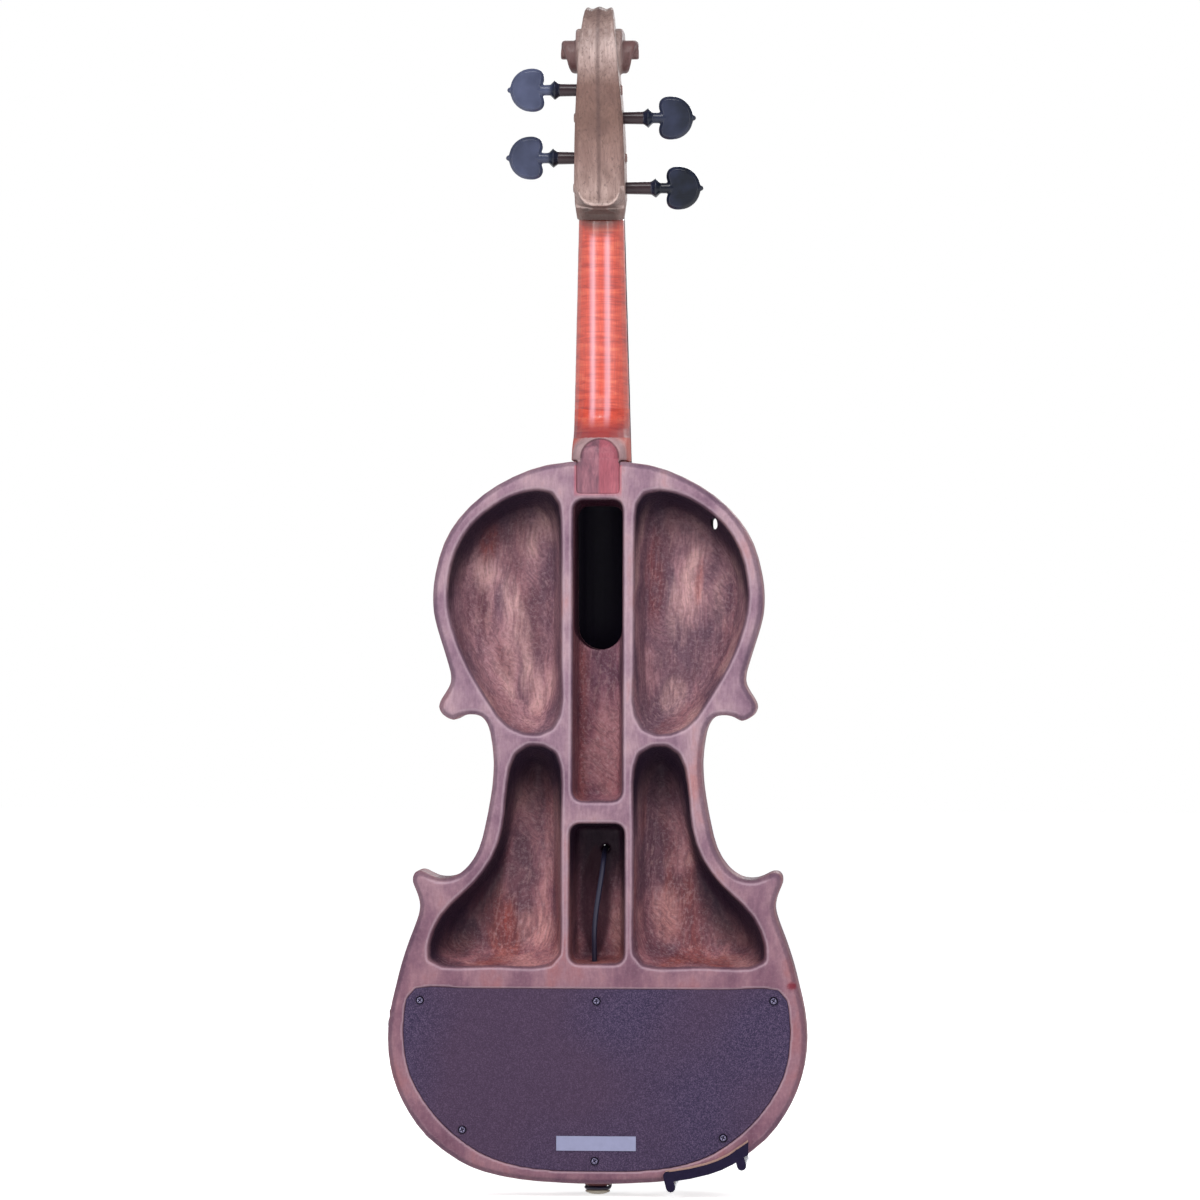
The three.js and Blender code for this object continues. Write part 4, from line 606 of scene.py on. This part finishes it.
BODY_VOXEL, BODY_ROUNDS = 0.9, 14
GRID = 225, 385               # squares of 1 mm that cover the body, across and up
GRID_MIDDLE = 112, 192
REACH = 8                     # how far in from the outline a place still counts its distance
BLURS = 3
CHANNEL_HALF = 13.0           # the middle channel
CHANNEL_FOOT = -1.0
BAY_FOOT = -80.0              # of the small hollow below it, which holds the cable
BAY_SHADE = 0.2
SLOT = 79.6, 8.0, 40.0, 12.2  # foot, nearest and furthest depth and half width of the slot through the body
MORTISE = 15.0, 158.0         # half width and foot of the place where the neck is let in
MORTISE_FADE = 4.0
SEAT_HALF = 12.0
CABLE_SHADOW = -74.0, -17.0, -2.0, 10.5    # foot, top, middle and half width of the painted shadow round the cable
SPOT = 95.9, -85.0            # a dark red spot on the rim
SPOT_FADE = 1.6, 3.2
SPOT_WIDTH = 1.3              # its width as a share of its height
POCKETS_PART = 36.0           # height between the upper and the lower pockets
ROOF_SHADOWS = 4.0, 7.0       # how far the dark under an edge stays full, in upper and in lower pockets
ROOF_ENDS = 27.0, 42.0        # and where it ends
RIM_FADE = 2.5, 5.5           # in from the outline
BACK_FADE = 28.0, 31.0        # depth at which the front's shell begins
FLOOR_FADE = 1.2, 4.5
SIDE_FADE = 1.5, 4.0
OUTER_FADE = 0.15, 0.8
MOUTH_FADES = (0.7, 1.5), (2.5, 4.5)
# depths of the painted highlight along the pockets' lips
LIP_FADES = (0.08, 0.3), (0.6, 1.1)
LOW_FADE = -110.0, 60.0
STREAK_FADE = -9.0, -3.0
PATCHES = (                   # across, height, half width, half length, lean in degrees, brighter, redder
    (-41.5, 95.0, 6.0, 24.0, 14, 0.85, 0.0), (-34.0, 64.0, 6.0, 14.0, 14, 0.8, 0.0),
    (-24.0, 140.0, 5.0, 9.0, 0, 0.45, 0.0), (-60.0, 98.0, 8.0, 19.0, 8, -0.95, 0.2),
    (-54.8, 134.0, 6.0, 13.0, -12, -0.3, 0.8), (-27.0, 101.0, 6.0, 22.0, 6, -0.35, 0.0),
    (-66.0, 132.0, 6.0, 13.0, -20, -0.7, 0.0), (-47.0, 74.0, 3.5, 12.0, 20, -0.5, 0.2),
    (41.0, 101.0, 9.0, 17.0, -6, 0.6, 0.0), (36.5, 57.0, 7.0, 10.0, -12, 0.7, 0.0),
    (49.0, 113.0, 2.2, 13.0, -5, 0.3, 0.6), (62.0, 100.0, 10.0, 24.0, -8, -0.75, 0.0),
    (27.0, 116.0, 6.0, 28.0, 0, -0.5, 0.4), (54.0, 60.0, 6.0, 12.0, -22, -0.4, 0.0),
    (-31.0, -58.0, 11.0, 11.0, 10, 0.75, 0.0), (-58.0, -44.0, 10.0, 9.0, -30, -0.2, 0.55),
    (-52.0, -27.0, 7.0, 12.0, -28, -0.65, 0.25), (-45.6, -56.0, 4.0, 10.0, 0, 0.1, 0.8),
    (-23.0, -18.0, 5.0, 18.0, 0, 0.2, 0.0), (33.0, -51.0, 8.0, 15.0, 6, 0.7, 0.1),
    (34.0, -4.0, 4.5, 24.0, 0, -0.6, 0.2), (62.0, -58.0, 12.0, 9.0, 0, 0.25, 0.0),
    (56.0, -36.0, 5.0, 16.0, 35, -0.6, 0.2), (-70.0, -66.0, 9.0, 6.0, 0, 0.3, 0.1),
)
PATCH_FADE = 0.35, 1.25       # shares of a patch's half sizes
PATCH_MOST = 0.9


def cells(across, height):
    """The place of each point in a grid of 1 mm squares that covers the body."""
    return np.round(across).astype(int) + GRID_MIDDLE[0], np.round(height).astype(int) + GRID_MIDDLE[1]


def within(across, height):
    """How far each place lies inside the body's outline, up to the reach."""
    column, row = cells(across, height)
    solid = np.zeros(GRID, bool)
    solid[column, row] = True
    for r in range(GRID[1]):
        filled = np.flatnonzero(solid[:, r])
        if len(filled):
            solid[filled[0]:filled[-1] + 1, r] = True
    inner = np.zeros(GRID)
    for _ in range(REACH):
        solid[1:-1, 1:-1] &= solid[:-2, 1:-1] & solid[2:, 1:-1] & solid[1:-1, :-2] & solid[1:-1, 2:]
        inner += solid
    for _ in range(BLURS):
        inner[1:-1] = (inner[:-2] + 2 * inner[1:-1] + inner[2:]) / 4
        inner[:, 1:-1] = (inner[:, :-2] + 2 * inner[:, 1:-1] + inner[:, 2:]) / 4
    return inner[column, row]


def below_roof(across, height, hollow):
    """How far each place in a hollow of the back lies below the hollow's upper edge."""
    column, row = cells(across, height)
    inside = np.zeros(GRID, bool)
    inside[column[hollow > 0.5], row[hollow > 0.5]] = True
    run = np.zeros(GRID)
    for r in range(GRID[1] - 2, -1, -1):
        run[:, r] = np.where(inside[:, r] | inside[:, r + 1], run[:, r + 1] + 1, 0)
    for _ in range(BLURS):
        run[1:-1] = (run[:-2] + 2 * run[1:-1] + run[2:]) / 4
    return run[column, row]


def patched(across, height):
    """Where the figured floors of the pockets are brighter or darker, and where redder."""
    bright, ruddy = np.zeros(len(across)), np.zeros(len(across))
    for x, z, half_width, half_length, lean, brighter, redder in PATCHES:
        cos, sin = math.cos(math.radians(lean)), math.sin(math.radians(lean))
        side = ((across - x) * cos + (height - z) * sin) / half_width
        along = ((height - z) * cos - (across - x) * sin) / half_length
        weight = 1 - smoothstep(*PATCH_FADE, np.hypot(side, along))
        bright += weight * brighter
        ruddy += weight * redder
    return np.clip(bright, -PATCH_MOST, PATCH_MOST), np.clip(ruddy, 0, PATCH_MOST)


def near_mortise(across, depth, height):
    half, foot = MORTISE
    beside = 1 - smoothstep(half, half + MORTISE_FADE, np.abs(across))
    return beside * smoothstep(foot - MORTISE_FADE, foot, height)


def painted_deep_shade(across, depth, height, hollow):
    """Painted shade: the cable's shadow round it, shade in the bay that holds it and down the slot."""
    foot, top, middle, half = CABLE_SHADOW
    along = (height - foot) / (top - foot)
    width = half * np.sin(math.pi * np.clip(along, 0, 1)) ** 0.7 + 1e-6
    fade = 1 - smoothstep(0.55, 1.0, np.abs(across - middle) / width)
    gouge = 0.85 * hollow * fade * (along > 0) * (along < 1)
    in_bay = (np.abs(across) < CHANNEL_HALF) & (height < CHANNEL_FOOT) & (height > BAY_FOOT)
    foot, nearest, furthest, half = SLOT
    from_foot = np.hypot(across, np.minimum(height - foot - half, 0))
    in_slot = (np.abs(across) < CHANNEL_HALF) & (height > CHANNEL_FOOT) & (from_foot < half)
    in_slot &= (depth > nearest) & (depth < furthest)
    return np.maximum(np.maximum(gouge, BAY_SHADE * hollow * in_bay), 0.95 * in_slot)


def dress_body():
    mesh = carved("body", BODY_VOXEL, BODY_ROUNDS, near_mortise)
    across, depth, height = points_of(mesh).T / MM
    normals = normals_of(mesh)
    inside = smoothstep(*RIM_FADE, within(across, height))
    back = 1 - smoothstep(*BACK_FADE, depth)
    hollow = smoothstep(*FLOOR_FADE, depth) * inside * back
    steep = smoothstep(0.25, 0.9, 1 + normals[:, 1])
    in_channel = (np.abs(across) < CHANNEL_HALF) & (height > CHANNEL_FOOT)
    roof = below_roof(across, height, hollow)
    full, none = (np.where(height > POCKETS_PART, *ends) for ends in (ROOF_SHADOWS, ROOF_ENDS))
    bright, ruddy = patched(across, height)
    from_spot = np.hypot(across - SPOT[0], (height - SPOT[1]) * SPOT_WIDTH)
    for name, values in (
        ("hollow", hollow),
        ("wall", hollow * steep * np.clip(0.62 - 0.62 * normals[:, 2], 0, 1)),
        ("side", smoothstep(*SIDE_FADE, depth) * (1 - inside * back)),
        ("roof", hollow * 0.95 * (1 - smoothstep(full, none, roof)) * ~in_channel),
        ("bright", bright),
        ("ruddy", ruddy),
        ("middle", hollow * in_channel),
        ("streak", 0.75 * hollow * in_channel * (1 - smoothstep(*STREAK_FADE, across))),
        ("seat", near_mortise(across, depth, height) * (depth < 1) * (np.abs(across) < SEAT_HALF)),
        ("mouth", 0.45 * between(*MOUTH_FADES, depth) * inside),
        ("lip", between(*LIP_FADES, depth) * inside),
        ("outer", smoothstep(*OUTER_FADE, depth) * (1 - inside)),
        ("low", 1 - smoothstep(*LOW_FADE, height)),
        ("gouge", painted_deep_shade(across, depth, height, hollow)),
        ("spot", 0.85 * (1 - smoothstep(*SPOT_FADE, from_spot))),
    ):
        store(mesh, name, values)
    dress("body", mesh, BODY_WOOD)


dress_body()

# Neck and head, sizes in mm

NECK_ANGLE = math.radians(6.2)
NECK_ORIGIN = np.array((0, 42, 172.8))
OVERLAP = 0.45                # how far glued joints reach into each other, so that no dark gap shows


def in_neck(points):
    """Places in millimetres to the neck's frame: across, depth, along."""
    across, depth, height = (points - NECK_ORIGIN).T
    cos, sin = math.cos(NECK_ANGLE), math.sin(NECK_ANGLE)
    return across, cos * depth + sin * height, cos * height - sin * depth


NECK_VOXEL, NECK_ROUNDS = 0.6, 14
CRISP_TOP = 287.0, 290.0      # heights where the neck's joints with the head and the body keep their edges
CRISP_FOOT = 180.0, 186.0
TENON_TOP = 171.5
BANDS = -0.3, 3.7, 2.2        # middle, place and half width of the two painted highlight bands along the neck's back
BAND_HEIGHTS = (187.0, 196.0), (280.0, 288.0)
HEEL = 184.5, 199.0           # heights of the heel's top and of where the neck begins to bend into it
ARCH = 0.7, 174.5, 9.2        # middle, foot and radius of the arch on the heel's back
FLANK_FADE = 8.0, 20.0


def near_joints(across, depth, height):
    return np.maximum(smoothstep(*CRISP_TOP, height), 1 - smoothstep(*CRISP_FOOT, height))


def dress_neck():
    mesh = carved("neck", NECK_VOXEL, NECK_ROUNDS, near_joints)
    points = points_of(mesh)
    normals = normals_of(mesh)
    across, depth, height = points.T / MM
    glued = (height < TENON_TOP) & (normals[:, 1] > -0.6)
    set_points(mesh, points + normals * (OVERLAP * MM * glued)[:, None])
    middle, place, half = BANDS
    band = 1 - smoothstep(0.2, 1.0, np.abs(np.abs(across - middle) - place) / half)
    # painted highlight bands along the neck's back
    store(mesh, "polish", band * between(*BAND_HEIGHTS, height))
    middle, foot, radius = ARCH
    from_middle = np.hypot(across - middle, np.maximum(height - foot, 0))
    ring = from_middle - radius
    store(mesh, "arch", 0.6 * (1 - smoothstep(0.25, 0.6, np.abs(ring))) * (height > foot - 0.5))
    store(mesh, "beside", 0.8 * smoothstep(0.0, 0.5, ring) * (height > foot - 2.5))
    store(mesh, "flank", smoothstep(*FLANK_FADE, depth))
    dress("neck", mesh, NECK_WOOD)
    mesh.materials.append(NECK_FOOT_WOOD)
    mesh.materials.append(HEEL_WOOD)
    for face in mesh.polygons:
        face.material_index = sum(height[face.vertices[0]] < level for level in HEEL)


dress_neck()

HEAD_VOXEL, HEAD_ROUNDS = 0.5, 6
CRISP_HEAD = 295.0, 299.0     # heights where the head's joint with the neck keeps its edges
HEAD_SEAT = 294.5
EYE = -12.0, 202.8            # depth and place along the neck of the scroll's eye
EYE_FADE = 6.0, 9.0
FLUTE_DEPTH = 1.5
FLUTE_START = 124.0, 134.0
HALF_WIDTHS = (120, 128, 165, 190, 202, 215, 226), (11.4, 12.5, 12.2, 10.6, 9.6, 7.8, 6.9)  # along, across
FLUTE_SHARES = (6.5, 12.5), (0.7, 1.0)    # half widths, and the share of the flutes' depth there
CHIN_FADES = (132.0, 136.0), (-24.2, -22.5), (6.0, 12.0)    # along, depth, across
BRIM_LEAN = 0.75
BRIM_HEIGHTS = (126.5, 128.0), (138.0, 142.0)
EAR_FADE = 10.0, 12.0
EAR_REACH = 22
RIDGE_FADE = 0.3, 1.6


def near_neck(across, depth, height):
    return 1 - smoothstep(*CRISP_HEAD, height)


def dress_head():
    """Two flutes run up the back and over the scroll, with a ridge between them."""
    mesh = carved("scroll_and_pegbox", HEAD_VOXEL, HEAD_ROUNDS, near_neck)
    points = points_of(mesh)
    normals = normals_of(mesh)
    across, depth, along = in_neck(points / MM)
    off_middle = np.abs(across)
    to_eye = np.stack((depth - EYE[0], along - EYE[1]), 1)
    radius = np.linalg.norm(to_eye, axis=1)
    turn = normals @ np.array(((0, 0), (math.cos(NECK_ANGLE), -math.sin(NECK_ANGLE)),
                               (math.sin(NECK_ANGLE), math.cos(NECK_ANGLE))))
    outward = np.einsum("ij,ij->i", to_eye / np.maximum(radius, 1e-6)[:, None], turn)
    on_volute = smoothstep(0.6, 0.9, outward) * smoothstep(*EYE_FADE, radius)
    on_back = smoothstep(0.7, 0.92, -turn[:, 0]) * (along < EYE[1])
    weight = np.maximum(on_volute * (along > EYE[1] - 4), on_back) * smoothstep(*FLUTE_START, along)
    half = np.interp(along, *HALF_WIDTHS)
    share = np.clip(off_middle / half, 0, 1)
    flute = FLUTE_DEPTH * np.sin(math.pi * share) ** 2 * np.interp(half, *FLUTE_SHARES)
    seated = (points[:, 2] < HEAD_SEAT * MM) & (turn[:, 1] < -0.3)
    points = points - normals * (flute * weight * MM)[:, None]
    points[seated, 2] -= OVERLAP * MM
    set_points(mesh, points)
    chin_top, chin_depth, chin_side = CHIN_FADES
    chin = (1 - smoothstep(*chin_top, along)) * smoothstep(*chin_depth, depth) * (depth < -10)
    brim = (1 - smoothstep(0.1, 0.3, np.abs(turn[:, 0] + BRIM_LEAN))) * (turn[:, 1] < -0.15) * (depth < -12)
    # painted shade at the chin's foot and a painted highlight along its brim
    store(mesh, "chin", 0.85 * chin * (1 - smoothstep(*chin_side, off_middle)))
    store(mesh, "brim", 0.65 * brim * between(*BRIM_HEIGHTS, along))
    store(mesh, "ear", 0.85 * smoothstep(*EAR_FADE, off_middle) * (along > EYE[1] - EAR_REACH))
    store(mesh, "ridge", 0.6 * weight * (1 - smoothstep(*RIDGE_FADE, off_middle)))
    dress("scroll_and_pegbox", mesh, HEAD_WOOD)


dress_head()

# Pegs with their windings, sizes in mm

PEG_VOXEL, PEG_ROUNDS = 0.32, 4
PEG_HEAD = 23.4               # from a peg's collar to its far end
COLLAR = 3.0                  # length of the collar itself
COLLAR_FADE = 1.0
SHAFT_START = 10.0, 12.0
TIP_END = -10.0, -9.0
# how strongly a painted reflection lightens each peg's head
PEG_SHEEN = {"g": 0.0, "d": 0.12, "a": 0.75, "e": 0.5}
WIRES = {"g": 0.41, "d": 0.38, "a": 0.34, "e": 0.25}
PITCH = 2.15                  # from one turn to the next, in wire radii
TURN_STEPS = 16


def winding_curve(name, centre, length, radius, wire, turns):
    curve = bpy.data.curves.new(name, "CURVE")
    curve.dimensions = "3D"
    curve.bevel_depth = wire
    curve.bevel_resolution = 2
    curve.use_fill_caps = True
    steps = TURN_STEPS * turns
    spline = curve.splines.new("POLY")
    spline.points.add(steps)
    for i, point in enumerate(spline.points):
        angle = 2 * math.pi * i / TURN_STEPS
        along = length * (i / steps - 0.5)
        place = centre + Vector((along, radius * math.cos(angle), radius * math.sin(angle)))
        point.co = (*place, 1)
    return curve


def dress_peg(node):
    mesh = carved(node, PEG_VOXEL, PEG_ROUNDS)
    across = points_of(mesh)[:, 0] / MM
    outwards = across * (1 if across.max() > -across.min() else -1)
    collar = outwards.max() - PEG_HEAD
    store(mesh, "tip", 1 - smoothstep(*TIP_END, outwards))
    # painted reflection on the head, from the collar outwards
    store(mesh, "pale", PEG_SHEEN[node[-1]] * smoothstep(collar, collar + COLLAR + COLLAR_FADE, outwards))
    shaft_end = collar - COLLAR, collar - COLLAR + COLLAR_FADE
    store(mesh, "shaft", between(SHAFT_START, shaft_end, outwards))
    dress(node, mesh, PEG_WOOD)


for note in STRINGS:
    dress_peg(f"peg_{note}")
    low, high = (Vector(corner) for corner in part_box(f"winding_{note}"))
    wire = WIRES[note] * MM
    size = high - low
    turns = int(size.x / (PITCH * wire))
    coil = winding_curve(f"coil_{note}", (low + high) / 2, size.x - 2 * wire, size.z / 2 - wire, wire, turns)
    coil.materials.append(BRIGHT_STEEL)
    show(f"coil_{note}", coil, BODY_OF[f"winding_{note}"], "steel", f"winding_{note}")

# Fittings

CARVED_FITTINGS = (           # node, material, voxel in mm, rounds of smoothing
    ("fingerboard", EBONY, 0.9, 3), ("nut", EBONY, 0.4, 2), ("saddle", EBONY, 0.4, 3),
    ("bridge", MAPLE, 0.35, 2), ("tailpiece", GLOSS_BLACK, 0.5, 3), ("chinrest", GLOSS_BLACK, 0.7, 8),
    ("end_button", BONE, 0.35, 2),
)
MACHINED_FITTINGS = (         # node, material, bevel in mm
    ("control_cover", COVER, 0.2), ("label_plate", LABEL, 0.08), ("bridge_pickup", MATT_BLACK, 0.4),
    ("chinrest_cork", CORK, 0.3), ("clamp_upper", BRIGHT_STEEL, 0.3), ("clamp_foot", CLAMP_BLACK, 0.7),
    ("clamp_foot_cork", CORK, 0.3), ("clamp_barrel_1", BRIGHT_STEEL, 0.25),
    ("clamp_barrel_2", BRIGHT_STEEL, 0.25), ("jack_plate", DARK_STEEL, 0.3),
    ("output_jack", BRIGHT_STEEL, 0.25), ("volume_knob", GLOSS_BLACK, 0.5), ("tone_knob", GLOSS_BLACK, 0.5),
    ("volume_pot", BRIGHT_STEEL, 0.3), ("tone_pot", BRIGHT_STEEL, 0.3), ("preamp_board", CIRCUIT, 0.15),
    ("battery", BATTERY, 0.6), ("pickup_cable", CORD, 0.1), ("tail_cord", CORD, 0.1),
)
STRING_BEVEL, STRING_ANGLE = 0.02, 70
TUNER_BEVEL = 0.15

for node, material, voxel, rounds in CARVED_FITTINGS:
    dress(node, carved(node, voxel, rounds), material)

for node, material, bevel in MACHINED_FITTINGS:
    dress(node, machined(node, bevel), material)

for note in STRINGS:
    dress(f"string_{note}", machined(f"string_{note}", STRING_BEVEL, STRING_ANGLE), BRIGHT_STEEL)
    for kind in ("shank", "knob", "lever"):
        dress(f"tuner_{kind}_{note}", machined(f"tuner_{kind}_{note}", TUNER_BEVEL), BRIGHT_STEEL)

# Cover screws: domed heads with a cross recess, sizes in mm

SCREWS = 6
SCREW_SIDES = 32
SCREW_HEIGHT = 1.1
DOME = (0.9, -1.05), (1.6, -0.8), (2.0, -0.35), (2.08, 0)    # radius, depth
CROSS = 2.4, 1.1, 0.5         # length, depth and width of each arm's cutter
CROSS_TURN = 0.7              # from one screw's cross to the next
# radii in mm across which the painted shade at the head's edge fades in
SCREW_SHADE_RING = 1.3, 1.9
RECESS = -0.7, 0.12           # depth at the middle, and how much it falls per mm outwards
SCREW_ANGLE = 40


def screw_mesh():
    """Centred on the head's foot, its head towards -Y."""
    work = bmesh.new()
    angles = [2 * math.pi * i / SCREW_SIDES for i in range(SCREW_SIDES)]
    rings = [[work.verts.new((radius * math.cos(angle) * MM, depth * MM, radius * math.sin(angle) * MM))
              for angle in angles] for radius, depth in DOME]
    top = work.verts.new((0, -SCREW_HEIGHT * MM, 0))
    for i in range(SCREW_SIDES):
        after = (i + 1) % SCREW_SIDES
        work.faces.new((top, rings[0][i], rings[0][after]))
        for near, far in zip(rings, rings[1:]):
            work.faces.new((near[i], far[i], far[after], near[after]))
    work.faces.new(list(reversed(rings[-1])))
    bmesh.ops.recalc_face_normals(work, faces=work.faces)
    return mesh_of(work, "screw")


def cross_cutter(turn):
    work = bmesh.new()
    size = Matrix.Diagonal((*(side * MM for side in CROSS), 1))
    for angle in (turn, turn + math.pi / 2):
        matrix = Matrix.Translation((0, -SCREW_HEIGHT * MM, 0)) @ Matrix.Rotation(angle, 4, "Y") @ size
        bmesh.ops.create_cube(work, size=1, matrix=matrix)
    return mesh_of(work, "cross")


def dress_screws():
    for index in range(1, SCREWS + 1):
        node = f"cover_screw_{index}"
        low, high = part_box(node)
        cutter = bpy.data.objects.new("cutter", cross_cutter(CROSS_TURN * index))
        bpy.context.scene.collection.objects.link(cutter)
        mesh = with_modifiers(screw_mesh(), ("BOOLEAN", {"object": cutter, "operation": "DIFFERENCE",
                                                         "use_self": True}))
        bpy.data.objects.remove(cutter)
        around = points_of(mesh) / MM
        reach = np.hypot(around[:, 0], around[:, 2])
        recess = around[:, 1] > RECESS[0] - RECESS[1] * reach
        # painted shade round the head's edge and in the cross recess
        store(mesh, "edge", np.maximum(smoothstep(*SCREW_SHADE_RING, reach), recess))
        foot = Vector(((low[0] + high[0]) / 2, low[1] + SCREW_HEIGHT * MM, (low[2] + high[2]) / 2))
        mesh.transform(Matrix.Translation(foot))
        mesh.shade_smooth()
        mesh.set_sharp_from_angle(angle=math.radians(SCREW_ANGLE))
        dress(node, mesh, SCREW_STEEL)


dress_screws()

# Floor and light, sizes in metres

WHITE = 1, 1, 1, 1
FLOOR_HALF, FLOOR_LEVEL = 6, -0.1895
FLOOR_GREY = 0.85
FLOOR_GLOW = 0.7
SKY = 0.93, 0.95, 1, 1
SKY_STRENGTH = 0.42
LAMPS = (                     # name, place, target, width and height, watts
    ("key", (-0.1, -0.9, 1.3), (0, 0, 0.05), (0.9, 0.5), 12),
    ("left_soft", (-0.95, -1.15, 0.25), (0, 0, 0.1), (0.6, 1.5), 6.5),
    ("right_soft", (1.05, -1.05, 0.25), (0, 0, 0.1), (0.6, 1.5), 6.5),
    ("front_fill", (0.3, 1.4, 0.8), (0, 0, 0.05), (0.8, 0.8), 10),
)


def make_stage():
    """A white floor that still shows the shadow on it."""
    floor = bpy.data.meshes.new("floor")
    corners = (-1, -1), (1, -1), (1, 1), (-1, 1)
    floor.from_pydata([(x * FLOOR_HALF, y * FLOOR_HALF, FLOOR_LEVEL) for x, y in corners], [], [(0, 1, 2, 3)])
    look = Look("floor", roughness=0.9, specular_ior_level=0.0)
    look.shader.inputs["Base Color"].default_value = (FLOOR_GREY, FLOOR_GREY, FLOOR_GREY, 1)
    path = look.add("LightPath", {})
    seen = look.maths("MAXIMUM", path.outputs["Is Camera Ray"], path.outputs["Is Glossy Ray"])
    glow = look.add("Emission", {"Color": WHITE, "Strength": look.times(seen, FLOOR_GLOW)})
    both = look.add("AddShader", {0: look.shader.outputs[0], 1: glow.outputs[0]})
    look.tree.links.new(both.outputs[0], look.tree.nodes["Material Output"].inputs["Surface"])
    floor.materials.append(look.material)
    stage = bpy.data.objects.new("floor", floor)
    bpy.context.scene.collection.objects.link(stage)


def make_world():
    """Plain light on the object, and white where the camera looks past it."""
    world = bpy.data.worlds.new("world")
    bpy.context.scene.world = world
    world.use_nodes = True
    tree = world.node_tree
    sky = tree.nodes["Background"]
    sky.inputs["Color"].default_value = SKY
    sky.inputs["Strength"].default_value = SKY_STRENGTH
    white = tree.nodes.new("ShaderNodeBackground")
    white.inputs["Color"].default_value = WHITE
    path = tree.nodes.new("ShaderNodeLightPath")
    either = tree.nodes.new("ShaderNodeMath")
    either.operation = "MAXIMUM"
    mixed = tree.nodes.new("ShaderNodeMixShader")
    for source, target in (
        (path.outputs["Is Camera Ray"], either.inputs[0]),
        (path.outputs["Is Transmission Ray"], either.inputs[1]),
        (either.outputs[0], mixed.inputs[0]),
        (sky.outputs[0], mixed.inputs[1]),
        (white.outputs[0], mixed.inputs[2]),
        (mixed.outputs[0], tree.nodes["World Output"].inputs["Surface"]),
    ):
        tree.links.new(source, target)


def area_light(name, place, target, size, power):
    light = bpy.data.lights.new(name, "AREA")
    light.shape = "RECTANGLE"
    light.size, light.size_y = size
    light.energy = power
    lamp = bpy.data.objects.new(name, light)
    lamp.location = place
    lamp.rotation_euler = (Vector(target) - Vector(place)).to_track_quat("-Z", "Y").to_euler()
    bpy.context.scene.collection.objects.link(lamp)


make_stage()
make_world()
for lamp in LAMPS:
    area_light(*lamp)
bpy.context.scene.view_settings.view_transform = "Standard"
